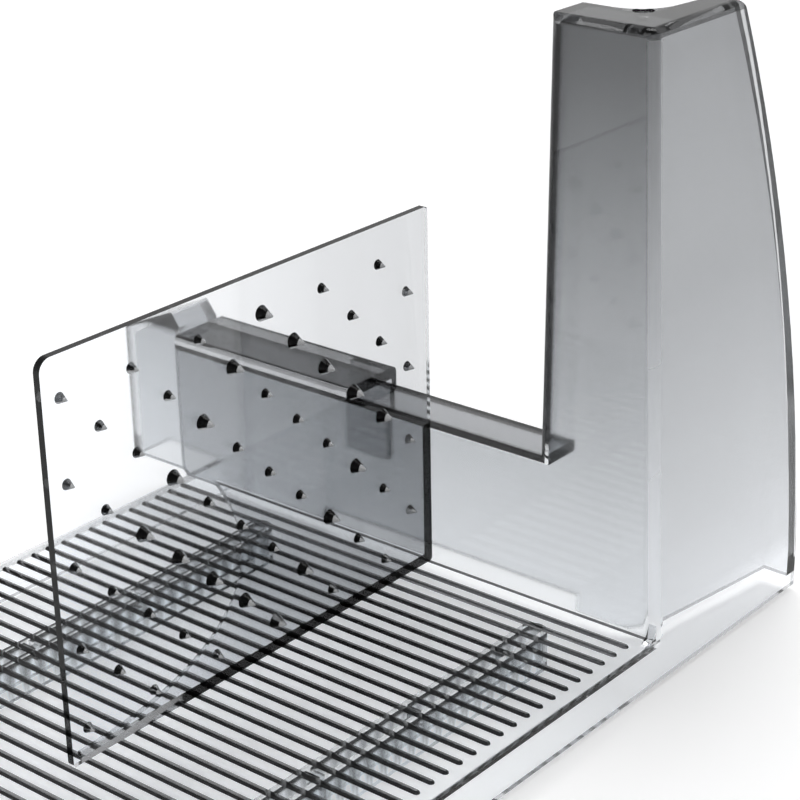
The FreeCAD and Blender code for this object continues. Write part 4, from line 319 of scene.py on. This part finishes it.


# Smoke tint with painted shade: the share of light that a wall lets through at heights in mm above the tray's
# floor, fitted to how the guard darkens towards its top
GUARD_TINT_AND_SHADE = [(-12, 0.88), (0, 0.82), (15, 0.79), (48, 0.66), (97, 0.5), (140, 0.33), (150, 0.32)]
# Painted shade on the guard's right side: lighter at its foot and again near its top, fitted the same way
SIDE_TINT_AND_SHADE = [(-12, 0.97), (-2, 0.95), (5, 0.77), (25, 0.69), (85, 0.61), (135, 0.75), (150, 0.75)]
FINISHES = {
    # Clear SAN, injection moulded and smoked: bright through its faces, dark where light runs along a wall
    # and leaves at an edge
    "smoke": partial(clear_plastic, tones=GUARD_TINT_AND_SHADE),
    # Painted shade on the front: a dark band along its leaning left edge above the ledge, and the guard's darkening
    # towards its top
    "smoke_front": partial(
        front_plastic, tones=GUARD_TINT_AND_SHADE, left=-36.6, lean=3.0 / 150, dark=0.004, ledge=(41.5, 44.0)),
    "smoke_inner": partial(clear_plastic, tones=GUARD_TINT_AND_SHADE, roughness=0.22),
    "smoke_side": partial(clear_plastic, tones=SIDE_TINT_AND_SHADE),
    # Its rounded corners scatter a little, being rougher, and are tinted lighter than the walls, a painted
    # highlight, so they stay light; the tint still darkens towards the top, painted shade
    "smoke_bend": partial(clear_plastic, tones=[(-14, 0.96), (25, 0.9), (150, 0.6)], roughness=0.3),
    # Its edges look nearly black: painted shade, a tint that stands in for the smoke of the whole wall behind them
    "smoke_edge": partial(
        clear_plastic, tones=[(0, 0.01), (40, 0.004), (143, 0.004), (150, 0.03)], roughness=0.02),
    # Painted shade: the guard's top faces are tinted nearly black
    "smoke_top": partial(clear_plastic, tones=[(0, 0.1), (150, 0.1)], roughness=0.02),
    # Painted shade: the ledge is tinted dark along its front and back, where the walls stand below it
    "smoke_ledge": partial(
        clear_plastic, tones=[(6.5, 0.01), (7.8, 0.02), (9.2, 0.5), (18.6, 0.55), (19.6, 0.03), (22, 0.01)],
        roughness=0.02, axis="Y"),
    # The tray's floor is clean and thin, and only its half-round ribs look dark: they are tinted nearly black,
    # painted shade for the dark that their curves show
    "smoke_tray": partial(clear_plastic, tones=[(-14, 0.99), (0, 0.985)]),
    "smoke_rib": partial(clear_plastic, tones=[(0, 0.06), (2, 0.08)]),
    # Painted shade: dark where the runners join the tray, and painted images of the ribs hanging down as spikes
    "smoke_runner": partial(runner_plastic, pitch=5.0, top=-3.0, deep=10.6),
    # The remnant holder, of the same SAN. Its plate grows darker towards the wall that is seen through it: painted
    # shade, and painted reflection where it is lighter away from the wall
    "smoke_plate": partial(clear_plastic, tones=[(-120, 0.94), (-90, 0.86), (-40, 0.72), (7, 0.62)], axis="Y"),
    "smoke_hook": partial(clear_plastic, tones=[(0, 0.62), (52, 0.56)]),
    "smoke_saddle": partial(clear_plastic, tones=[(38, 0.28), (52, 0.24)]),
    "smoke_web": partial(clear_plastic, tones=[(0, 0.85), (5, 0.85)], roughness=0.0, wave=0.0, ior=1.1),
    # Painted shade: the holder's rims are tinted nearly black above their foot
    "smoke_rim": partial(
        clear_plastic, tones=[(0, 0.25), (4, 0.2), (9, 0.01), (60, 0.01), (97, 0.03)], roughness=0.02),
    "smoke_spike": partial(clear_plastic, tones=[(0, 0.1), (97, 0.1)], roughness=0.08, ior=1.2),
    # The grains of the plastics below are about 0.1 mm in the real ones, and are drawn ten times as coarse
    # so that they show. Enamel on steel: smooth, with a soft second gloss
    "base_paint": partial(plastic, tone="base", dark="base_shade", roughness=0.32, grain=1.43, bump=0.05, coat=0.3),
    # ABS, injection moulded, white: satin
    "shell_white": partial(
        plastic, tone="shell", dark="shell_shade", roughness=0.3, grain=0.91, bump=0.06, coat=0.15),
    # Aluminium, die-cast and ground: short lines along the edges
    "alloy": partial(brushed, tone="#d3d5d8", dark="#b4b7bb", roughness=0.34, grain=(33.3, 33.3, 0.71)),
    # Aluminium sheet, brushed lengthwise and anodised: long fine lines that stretch the highlights
    "plate_alloy": partial(brushed, tone="#d9dbdd", dark="#bcbfc3", roughness=0.3, grain=(1.11, 83.3, 0.625)),
    # Stainless steel, turned and ground: rings that give a fan of light about the shaft
    "blade_steel": partial(
        turned_metal, tone="#e2e5e8", dark="#b9bdc2", centre=(2, -432, 80), roughness=0.16, pitch=0.385),
    # Steel, zinc plated: fine even speckle
    "steel": partial(brushed, tone="#bfc2c5", dark="#94979b", roughness=0.3, grain=(1.43, 1.43, 1.43)),
    # Electrical steel in stacked sheets of 0.5 mm, drawn about four times as thick so that they show
    "core_steel": partial(layered, tone="#6c7075", dark="#3c3f43", pitch=1.885, metallic=0.8, roughness=0.45),
    # Enamelled copper wire of 0.7 mm, drawn about four times as thick
    "copper": partial(layered, tone="#c47a45", dark="#7a3f1e", pitch=2.827, metallic=0.9, roughness=0.3),
    # Bronze, sintered: dull and evenly pitted
    "bronze": partial(brushed, tone="#b8924f", dark="#8c6c36", roughness=0.4, grain=(1.67, 1.67, 1.67)),
    # Nylon, moulded, natural: waxy and a little yellow
    "nylon": partial(plastic, tone="#e7e3d7", dark="#dcd7c8", roughness=0.5, grain=1.67, bump=0.1),
    # ABS, moulded, pale grey: dull, so that the dial's figures read well
    "dial_white": partial(plastic, tone="#dededd", dark="#d4d4d2", roughness=0.45, grain=1.11, bump=0.05),
    # ABS, moulded against a spark-eroded mould: dark and finely grained
    "dark_plastic": partial(plastic, tone="#45494e", dark="#33363a", roughness=0.42, grain=0.77, bump=0.22),
    # Carbon, pressed: dull and black
    "carbon": partial(plastic, tone="#2b2c30", dark="#1e1f22", roughness=0.55, grain=1.11, bump=0.3),
    # Polycarbonate, moulded, red: glossy
    "switch_red": partial(
        plastic, tone="switch", dark="switch_shade", roughness=0.28, grain=1.11, bump=0.05, coat=0.4),
    "rubber": moulded_rubber,
    # Pad-printed ink: thin and dull
    "print_dark": partial(plastic, tone="#2c2e31", dark="#232528", roughness=0.5, grain=1.11, bump=0.05),
    "print_white": partial(plastic, tone="#ececea", dark="#e2e2e0", roughness=0.5, grain=1.11, bump=0.05),
}
MATERIALS = {}


def material_for(key):
    """The material of a finish, made when it is first asked for."""
    if key not in MATERIALS:
        MATERIALS[key] = FINISHES[key](key)
    return MATERIALS[key]


def panel_colour(name, code, where):
    """A colour property whose default is a hex code."""
    return FloatVectorProperty(
        name=name, description="Colour of %s" % where, subtype="COLOR", size=3, min=0.0, max=1.0,
        default=colour(code)[:3])


class FinishColours(bpy.types.PropertyGroup):
    shell: panel_colour("Shell", "#f3f3f1", "the housing")
    shell_shade: panel_colour("Shell, shaded", "#ecebe8", "the faint clouds in the housing")
    base: panel_colour("Base", "#efeeea", "the base and bed")
    base_shade: panel_colour("Base, shaded", "#e6e5e1", "the faint clouds in the base and bed")
    switch: panel_colour("Switch", "#c33a30", "the rocker and the safety button")
    switch_shade: panel_colour("Switch, shaded", "#ab2c24", "the faint clouds in the rocker and button")


# Meshes


def body_of(node):
    """The body that a CAD node belongs to."""
    for body, members in FRAME["record"]["behaviour"]["bodies"].items():
        if node in members:
            return body
    raise KeyError(node)


def slot_of(node):
    """The material slot that the record gives a CAD node."""
    for part in FRAME["record"]["subparts"]:
        if part["node"] == node:
            return part["material_slot"]
    raise KeyError(node)


def placed(name, data):
    """A new object at the origin."""
    piece = bpy.data.objects.new(name, data)
    bpy.context.scene.collection.objects.link(piece)
    return piece


def plain_piece(maker, name, place):
    """Replace a curve or a modified object by a plain mesh that has its place in it."""
    bpy.context.view_layer.update()
    mesh = bpy.data.meshes.new_from_object(maker.evaluated_get(bpy.context.evaluated_depsgraph_get()))
    mesh.name = name
    mesh.transform(place)
    bpy.data.objects.remove(maker)
    return placed(name, mesh)


def round_off(shape, chosen, reach, steps):
    """Round the straight edges whose two ends the chosen test accepts."""
    edges = [e for e in shape.edges if all(chosen(v.co / MM - CORNER) for v in e.verts)]
    if edges:
        bmesh.ops.bevel(
            shape, geom=edges, offset=reach, segments=steps, profile=0.5, affect="EDGES", clamp_overlap=True)


# Vertices of neighbouring CAD faces that lie this near, in metres, are one
WELD = 3e-6
# Faces that differ by less than this many degrees are one flat face
FLAT = 0.3


def fine_copy(node, name, finishes, sharp, rule=None, rounding=None):
    """A smooth-shaded copy of a CAD node; rule gives each face's finish."""
    mesh = FRAME["nodes"][node].data.copy()
    mesh.name = name
    mesh.materials.clear()
    for key in finishes:
        mesh.materials.append(material_for(key))
    shape = bmesh.new()
    shape.from_mesh(mesh)
    bmesh.ops.remove_doubles(shape, verts=shape.verts, dist=WELD)
    bmesh.ops.dissolve_limit(
        shape, angle_limit=math.radians(FLAT), verts=shape.verts, edges=shape.edges, delimit={"NORMAL"})
    if rounding:
        round_off(shape, *rounding)
    bmesh.ops.recalc_face_normals(shape, faces=shape.faces)
    for edge in shape.edges:
        edge.smooth = edge.calc_face_angle(math.pi) < sharp
    for face in shape.faces:
        face.smooth = True
        centre = face.calc_center_median() / MM - CORNER
        face.material_index = finishes.index(rule(centre, face.normal)) if rule else 0
    shape.to_mesh(mesh)
    shape.free()
    piece = placed(name, mesh)
    piece.modifiers.new("Even shading", "WEIGHTED_NORMAL").keep_sharp = True
    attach(piece, body_of(node))
    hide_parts(node)
    return piece


def text_piece(name, words, place, tilt, size, depth, finish, body):
    """Printed figures that stand a hair proud of a surface; tilt in degrees leans them back from lying flat."""
    curve = bpy.data.curves.new(name, "FONT")
    curve.body = words
    curve.size = size
    curve.extrude = depth * MM
    curve.align_x = "CENTER"
    curve.align_y = "CENTER"
    curve.materials.append(material_for(finish))
    turn = Euler((math.radians(tilt), 0.0, math.pi))
    piece = plain_piece(placed(name, curve), name, Matrix.LocRotScale(place, turn, None))
    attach(piece, body)


# Food carriage and remnant holder

# Levels that divide the carriage's faces, in mm. The wall, the ledge and the guard's front box lie between
# WALL_FRONT and WALL_BACK, and the guard's fin behind them
WALL_FRONT = 6.3
FILLET_BACK = 6.45
WALL_BACK = 23.0
RUNNER_MIDDLES = (-28.9, -122.2)
RUNNER_HALF = 3.8
RUNNER_TOP = -3.05
RIB_TOP = 0.95
FLOOR_TOP = 0.03
FILLET_TOP = 5.0
GUARD_LEFT = -37.0
GUARD_TOP = 146.5


def carriage_rule(c, n):
    """Finish of a carriage face, from its middle c in mm and its direction n."""
    if c.z < RUNNER_TOP and c.y < 8 and min(abs(c.x - middle) for middle in RUNNER_MIDDLES) < RUNNER_HALF:
        return "smoke_runner"
    flat = max(abs(n.x), abs(n.y), abs(n.z)) > 0.985
    if c.z < FLOOR_TOP and c.y < WALL_FRONT:
        return "smoke_tray" if flat else "smoke_bend"
    if c.y < WALL_FRONT and c.z < RIB_TOP and -157 < c.x < -3:
        return "smoke_rib"
    if c.y < FILLET_BACK and c.z < FILLET_TOP:
        return "smoke_tray"
    if c.y > WALL_BACK and c.z < GUARD_TOP and abs(n.x) < 0.6:
        return "smoke"
    if not flat and c.z > 4:
        if c.z > GUARD_TOP:
            return "smoke_top"
        if c.x < GUARD_LEFT:
            return "smoke_edge" if c.y < 10 or c.x > -60 else "smoke"
        if c.x > -9 and 8.6 < c.y < 14:
            return "smoke_inner"
        if c.x > -6 and c.z < 146:
            return "smoke_bend"
        return "smoke_edge" if c.y < 10 else "smoke_inner"
    if n.z > 0.9:
        return "smoke_top" if c.z > 147 else "smoke_ledge"
    if n.z < -0.9:
        return "smoke_ledge"
    if c.x > -5.5 and abs(n.x) > 0.9:
        return "smoke_side"
    if n.y < -0.9 and c.y < 7:
        return "smoke_front"
    inside = (n.y > 0.9 and c.y < 12) or (n.y < -0.9 and 12 < c.y < 21)
    inside = inside or (n.x > 0.85 and c.x < -7) or (n.x < -0.9 and c.x > -10)
    return "smoke_inner" if inside else "smoke"


# The plate's two faces and the top of its foot web, in mm
PLATE_FRONT = -69.15
PLATE_BACK = -71.3
WEB_TOP = 4.0


def holder_rule(c, n):
    """Finish of a holder face, from its middle c in mm and its direction n."""
    if c.x > PLATE_FRONT:
        return "smoke_spike"
    if c.x > PLATE_BACK:
        return "smoke_plate" if abs(n.x) > 0.8 else "smoke_rim"
    if c.z < WEB_TOP and c.y < 4.3:
        return "smoke_rim" if abs(n.z) < 0.3 else "smoke_web"
    if abs(n.z) > 0.8 and c.z > 38:
        return "smoke_saddle"
    if abs(n.x) > 0.8:
        return "smoke_rim"
    return "smoke_hook"


def inner_corner(c):
    """Whether a point lies on the upright edge inside the guard, between its front and its right side."""
    lean = 4.9 / 150 * max(c.z, 0.0)
    return abs(c.y - 8.7) < 0.1 and abs(c.x + 2.2 + lean) < 0.15 and c.z > -13.4


CARRIAGE_FINISHES = [
    "smoke", "smoke_front", "smoke_inner", "smoke_side", "smoke_bend", "smoke_edge", "smoke_top", "smoke_ledge",
    "smoke_tray", "smoke_rib", "smoke_runner"]
HOLDER_FINISHES = ["smoke_plate", "smoke_rim", "smoke_hook", "smoke_saddle", "smoke_web", "smoke_spike"]


class CarriageSizes(bpy.types.PropertyGroup):
    sharp: FloatProperty(
        name="Sharp angle", description="Edges of the clear pieces that turn by more than this stay crisp",
        default=math.radians(32.0), min=math.radians(5.0), max=math.radians(90.0), subtype="ANGLE")
    inner_round: FloatProperty(
        name="Guard's inner corner", description="Rounding inside the thumb guard's front right corner",
        default=2.6 * MM, min=0.5 * MM, max=8.0 * MM, unit="LENGTH")


class SLICER_OT_carriage(bpy.types.Operator):
    """Build the clear food carriage and its remnant holder"""

    bl_idname = "slicer.carriage"
    bl_label = "Carriage"

    def execute(self, context):
        sizes = context.scene.slicer_carriage
        fine_copy(
            "food_carriage", "carriage_moulding", CARRIAGE_FINISHES, sizes.sharp, carriage_rule,
            (inner_corner, sizes.inner_round, 6))
        fine_copy("remnant_holder", "holder_moulding", HOLDER_FINISHES, sizes.sharp, holder_rule)
        return {"FINISHED"}


# Machine


PLAIN = {
    "base": ["base_frame", "rubber_feet", "carriage_bed", "glide_strips", "bed_screws", "carriage_buffer"],
    "housing": ["housing_front_shell", "housing_rear_shell", "housing_screws", "cord_gland", "terminal_block"],
    "blade": ["blade", "blade_lock", "blade_shaft", "blade_guard", "guard_screws"],
    "drive": [
        "worm_wheel", "worm_shaft", "gear_frame", "shaft_bushes", "motor_bearings", "rotor_core", "rotor_windings",
        "commutator", "cooling_fan", "stator_core", "stator_coils", "brush_holder", "carbon_brushes",
        "motor_cradle", "motor_strap"],
    "gauge": [
        "stop_plate", "stop_bracket", "bracket_screws", "guide_rods", "thickness_rack", "gauge_box", "guide_bushes",
        "dial_ring", "knob_spindle", "thickness_knob"],
    "controls": [
        "rocker_bezel", "switch_rocker", "rocker_switch", "switch_bracket", "button_collar", "safety_button",
        "button_spring", "safety_switch"],
}
# Nodes whose finish isn't the one that their slot names
FINISH = {"stop_plate": "plate_alloy"}
MACHINE_SHARP = math.radians(30.0)


def build_group(group):
    """Build smooth copies of a group of the machine's nodes."""
    for node in PLAIN[group]:
        fine_copy(node, node + ".fine", [FINISH.get(node, slot_of(node))], MACHINE_SHARP)


class SLICER_OT_base(bpy.types.Operator):
    """Build the base, feet and carriage bed"""

    bl_idname = "slicer.base"
    bl_label = "Base"

    def execute(self, context):
        build_group("base")
        return {"FINISHED"}


class SLICER_OT_housing(bpy.types.Operator):
    """Build the housing and the cord inlet"""

    bl_idname = "slicer.housing"
    bl_label = "Housing"

    def execute(self, context):
        build_group("housing")
        return {"FINISHED"}


class SLICER_OT_blade(bpy.types.Operator):
    """Build the blade and its guard"""

    bl_idname = "slicer.blade"
    bl_label = "Blade"

    def execute(self, context):
        build_group("blade")
        return {"FINISHED"}


class SLICER_OT_drive(bpy.types.Operator):
    """Build the motor and worm drive"""

    bl_idname = "slicer.drive"
    bl_label = "Drive"

    def execute(self, context):
        build_group("drive")
        return {"FINISHED"}


# Middle of the dial's face, in mm, and the thickness in mm from one figure to the next
DIAL_CENTRE = (50, -224.75, 20.9)
FIGURE_STEP = 3


class GaugeSizes(bpy.types.PropertyGroup):
    figures: IntProperty(
        name="Figures on the dial", description="How many figures the dial has", default=6, min=2, max=16)
    turn: FloatProperty(
        name="Knob's turn", description="How far the knob turns from the first figure to the last",
        default=math.radians(270.0), subtype="ANGLE")
    radius: FloatProperty(
        name="Dial radius", description="From the dial's middle to its figures and ticks",
        default=18.7 * MM, unit="LENGTH")
    figure_height: FloatProperty(
        name="Figures' height", description="Height of the dial's figures", default=2.1 * MM, unit="LENGTH")
    tick: FloatVectorProperty(
        name="Tick", description="Length, thickness and width of one printed line on the dial",
        default=(1.5 * MM, 0.12 * MM, 0.3 * MM), size=3, unit="LENGTH")


def tick_nodes():
    """Geometry nodes that set ticks round a dial, with a gap for each figure."""
    tree = bpy.data.node_groups.new("Ticks round a dial", "GeometryNodeTree")
    tree.interface.new_socket("Geometry", in_out="OUTPUT", socket_type="NodeSocketGeometry")
    kinds = {"Count": "Int", "Gap every": "Int", "Turn": "Float", "Radius": "Float", "Tick": "Vector"}
    for name, kind in kinds.items():
        tree.interface.new_socket(name, in_out="INPUT", socket_type="NodeSocket" + kind)
    given = add(tree, "NodeGroupInput").outputs
    index = add(tree, "GeometryNodeInputIndex").outputs[0]
    gaps = add(tree, "ShaderNodeMath", {0: given["Count"], 1: 1.0}, operation="SUBTRACT")
    step = add(tree, "ShaderNodeMath", {0: given["Turn"], 1: gaps.outputs[0]}, operation="DIVIDE")
    turned = add(tree, "ShaderNodeMath", {0: index, 1: step.outputs[0]}, operation="MULTIPLY")
    angle = add(tree, "ShaderNodeMath", {0: math.pi / 2, 1: turned.outputs[0]}, operation="SUBTRACT").outputs[0]
    spot = {}
    for axis, operation in (("X", "COSINE"), ("Z", "SINE")):
        wave = add(tree, "ShaderNodeMath", {0: angle}, operation=operation)
        spot[axis] = add(
            tree, "ShaderNodeMath", {0: wave.outputs[0], 1: given["Radius"]}, operation="MULTIPLY").outputs[0]
    place = add(tree, "ShaderNodeCombineXYZ", spot)
    points = add(tree, "GeometryNodePoints", {"Count": given["Count"], "Position": place.outputs[0]})
    back = add(tree, "ShaderNodeMath", {0: angle, 1: -1.0}, operation="MULTIPLY")
    turn = add(tree, "ShaderNodeCombineXYZ", {"Y": back.outputs[0]})
    part = add(tree, "ShaderNodeMath", {0: index, 1: given["Gap every"]}, operation="FLOORED_MODULO")
    between = add(tree, "ShaderNodeMath", {0: part.outputs[0], 1: 0.5}, operation="GREATER_THAN")
    tick = add(tree, "GeometryNodeMeshCube", {"Size": given["Tick"]})
    spread = add(tree, "GeometryNodeInstanceOnPoints", {
        "Points": points.outputs[0], "Selection": between.outputs[0], "Instance": tick.outputs["Mesh"],
        "Rotation": turn.outputs[0]})
    real = add(tree, "GeometryNodeRealizeInstances", {0: spread.outputs[0]})
    paint = add(
        tree, "GeometryNodeSetMaterial", {"Geometry": real.outputs[0], "Material": material_for("print_dark")})
    add(tree, "NodeGroupOutput", {0: paint.outputs[0]})
    return tree


def dial_ticks(sizes, centre):
    """Short printed lines round the dial, between its figures."""
    maker = placed("dial_ticks", bpy.data.meshes.new("dial_ticks"))
    modifier = maker.modifiers.new("Ticks", "NODES")
    modifier.node_group = tick_nodes()
    values = {
        "Count": (sizes.figures - 1) * FIGURE_STEP + 1, "Gap every": FIGURE_STEP, "Turn": sizes.turn,
        "Radius": sizes.radius, "Tick": tuple(sizes.tick)}
    for socket in modifier.node_group.interface.items_tree:
        if socket.in_out == "INPUT":
            modifier[socket.identifier] = values[socket.name]
    piece = plain_piece(maker, "dial_ticks", Matrix.Translation(centre))
    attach(piece, "machine")


class SLICER_OT_gauge(bpy.types.Operator):
    """Build the stop plate, thickness knob and its dial"""

    bl_idname = "slicer.gauge"
    bl_label = "Gauge"

    def execute(self, context):
        build_group("gauge")
        sizes = context.scene.slicer_gauge
        centre = at(*DIAL_CENTRE)
        dial_ticks(sizes, centre)
        for i in range(sizes.figures):
            turn = sizes.turn * i / (sizes.figures - 1)
            spot = centre + Vector((math.sin(turn), 0.0, math.cos(turn))) * sizes.radius
            text_piece(
                "figure_%d" % i, str(FIGURE_STEP * i), spot, 90, sizes.figure_height, 0.06,
                "print_dark", "machine")
        return {"FINISHED"}


class SLICER_OT_controls(bpy.types.Operator):
    """Build the rocker switch and the safety button"""

    bl_idname = "slicer.controls"
    bl_label = "Controls"

    def execute(self, context):
        build_group("controls")
        # The rocker's two halves slope, so each mark has its own depth, height and tilt
        for words, y, z, tilt in (("I", -376.88, 120.8, 107.7), ("O", -378.04, 111.4, 86.3)):
            text_piece(
                "mark_" + words, words, at(118, y, z), tilt, 4.6 * MM, 0.08, "print_white", "rocker")
        return {"FINISHED"}


# Studio


class StudioSizes(bpy.types.PropertyGroup):
    lens: FloatProperty(name="Lens", description="The camera's focal length in mm", default=98.224, unit="CAMERA")
    floor_size: FloatProperty(
        name="Floor", description="Length of the floor's sides", default=9.0, unit="LENGTH")
    floor_seen: FloatProperty(
        name="Floor's glow as seen",
        description="Light of its own that the floor shows to the camera and in gloss",
        default=0.27)
    floor_through: FloatProperty(
        name="Floor's glow through plastic",
        description="Light of its own that the floor shows through clear plastic",
        default=0.38)
    world: FloatProperty(name="World", description="Strength of the room's light on the object", default=0.5)


def seen_rays(tree, camera, mirrored, through):
    """A number that differs for what the camera sees, what gloss mirrors and what clear plastic lets through."""
    path = add(tree, "ShaderNodeLightPath").outputs
    parts = [
        add(tree, "ShaderNodeMath", {0: path[output], 1: value}, operation="MULTIPLY").outputs[0]
        for output, value in (
            ("Is Camera Ray", camera), ("Is Glossy Ray", mirrored), ("Is Transmission Ray", through))]
    most = add(tree, "ShaderNodeMath", {0: parts[0], 1: parts[1]}, operation="MAXIMUM")
    return add(tree, "ShaderNodeMath", {0: most.outputs[0], 1: parts[2]}, operation="MAXIMUM").outputs[0]


def studio_floor(sizes):
    """A pale floor that keeps the object's shadow."""
    mesh = bpy.data.meshes.new("floor")
    half = sizes.floor_size / 2
    mesh.from_pydata([(-half, -half, 0), (half, -half, 0), (half, half, 0), (-half, half, 0)], [], [(0, 1, 2, 3)])
    material, tree, _ = new_material("studio_white")
    surface(material, {
        "Base Color": colour("#fafafa"), "Roughness": 0.9, "Specular IOR Level": 0.1,
        "Emission Color": (1.0, 1.0, 1.0, 1.0),
        "Emission Strength": seen_rays(tree, sizes.floor_seen, sizes.floor_seen, sizes.floor_through)})
    mesh.materials.append(material)
    placed("floor", mesh)


def studio_world(sizes):
    """A room that is white below and greyer above, once as the light on the object and once as it is seen."""
    world = bpy.data.worlds.new("studio")
    bpy.context.scene.world = world
    world.use_nodes = True
    tree = world.node_tree
    tree.nodes.clear()
    direction = add(tree, "ShaderNodeTexCoord").outputs["Generated"]
    up = add(tree, "ShaderNodeSeparateXYZ", {"Vector": direction}).outputs["Z"]
    rooms = []
    for top, strength in ((0.55, sizes.world), (0.35, 1.0)):
        stops = [(0.05, (1.0, 1.0, 1.0, 1.0)), (0.85, (top, top, top * 1.02, 1.0))]
        ramp = add(tree, "ShaderNodeValToRGB", {"Fac": up}, stops)
        room = add(tree, "ShaderNodeBackground", {"Color": ramp.outputs["Color"], "Strength": strength})
        rooms.append(room.outputs[0])
    mix = add(tree, "ShaderNodeMixShader", {0: seen_rays(tree, 1.0, 1.0, 1.0), 1: rooms[0], 2: rooms[1]})
    add(tree, "ShaderNodeOutputWorld", {"Surface": mix.outputs[0]})


def soft_sun(name, towards, strength, spread):
    """Even light from one side of the ceiling; spread in degrees softens its shadows."""
    data = bpy.data.lights.new(name, "SUN")
    data.energy = strength
    data.angle = math.radians(spread)
    placed(name, data).rotation_euler = Vector(towards).to_track_quat("Z", "Y").to_euler()


def area_light(name, place, target, side, power):
    """A square lamp, its side in metres, that faces a target."""
    data = bpy.data.lights.new(name, "AREA")
    data.size = side
    data.energy = power
    light = placed(name, data)
    light.location = place
    light.rotation_euler = (Vector(target) - Vector(place)).to_track_quat("-Z", "Y").to_euler()


class SLICER_OT_studio(bpy.types.Operator):
    """Set up the floor, light and camera"""

    bl_idname = "slicer.studio"
    bl_label = "Studio"

    def execute(self, context):
        sizes = context.scene.slicer_studio
        studio_floor(sizes)
        studio_world(sizes)
        soft_sun("key", (-0.12, 0.3, 1.0), 1.5, 38)
        area_light("fill", (1.5, -1.6, 1.6), (0, 0, 0.1), 1.2, 9)
        camera = bpy.data.cameras.new("camera")
        camera.lens = sizes.lens
        camera.clip_start = 0.02
        camera.clip_end = 30
        holder = placed("camera", camera)
        holder.location = at(251.3, -387.9, 263.4)
        holder.rotation_euler = [math.radians(angle) for angle in (66.8668, 1.0427, 39.5442)]
        context.scene.camera = holder
        context.scene.view_settings.view_transform = "Standard"
        return {"FINISHED"}


class SLICER_PT_panel(bpy.types.Panel):
    bl_label = "Food slicer"
    bl_space_type = "VIEW_3D"
    bl_region_type = "UI"
    bl_category = "Slicer"

    def draw(self, context):
        for operator in OPERATORS:
            self.layout.operator(operator.bl_idname)
        for name in GROUPS:
            group = getattr(context.scene, name)
            for key in group.bl_rna.properties.keys():
                if key not in ("rna_type", "name"):
                    self.layout.prop(group, key)


OPERATORS = (
    SLICER_OT_carriage, SLICER_OT_base, SLICER_OT_housing, SLICER_OT_blade, SLICER_OT_drive, SLICER_OT_gauge,
    SLICER_OT_controls, SLICER_OT_studio)
GROUPS = {
    "slicer_colours": FinishColours, "slicer_carriage": CarriageSizes, "slicer_gauge": GaugeSizes,
    "slicer_studio": StudioSizes}


def register():
    for name, group in GROUPS.items():
        bpy.utils.register_class(group)
        setattr(bpy.types.Scene, name, PointerProperty(type=group))
    for operator in OPERATORS:
        bpy.utils.register_class(operator)
    bpy.utils.register_class(SLICER_PT_panel)


def unregister():
    bpy.utils.unregister_class(SLICER_PT_panel)
    for operator in reversed(OPERATORS):
        bpy.utils.unregister_class(operator)
    for name, group in GROUPS.items():
        delattr(bpy.types.Scene, name)
        bpy.utils.unregister_class(group)


def main():
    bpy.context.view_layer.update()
    register()
    for operator in OPERATORS:
        getattr(bpy.ops.slicer, operator.bl_idname.split(".")[1])()
    bpy.context.view_layer.update()


if __name__ == "__main__":
    main()
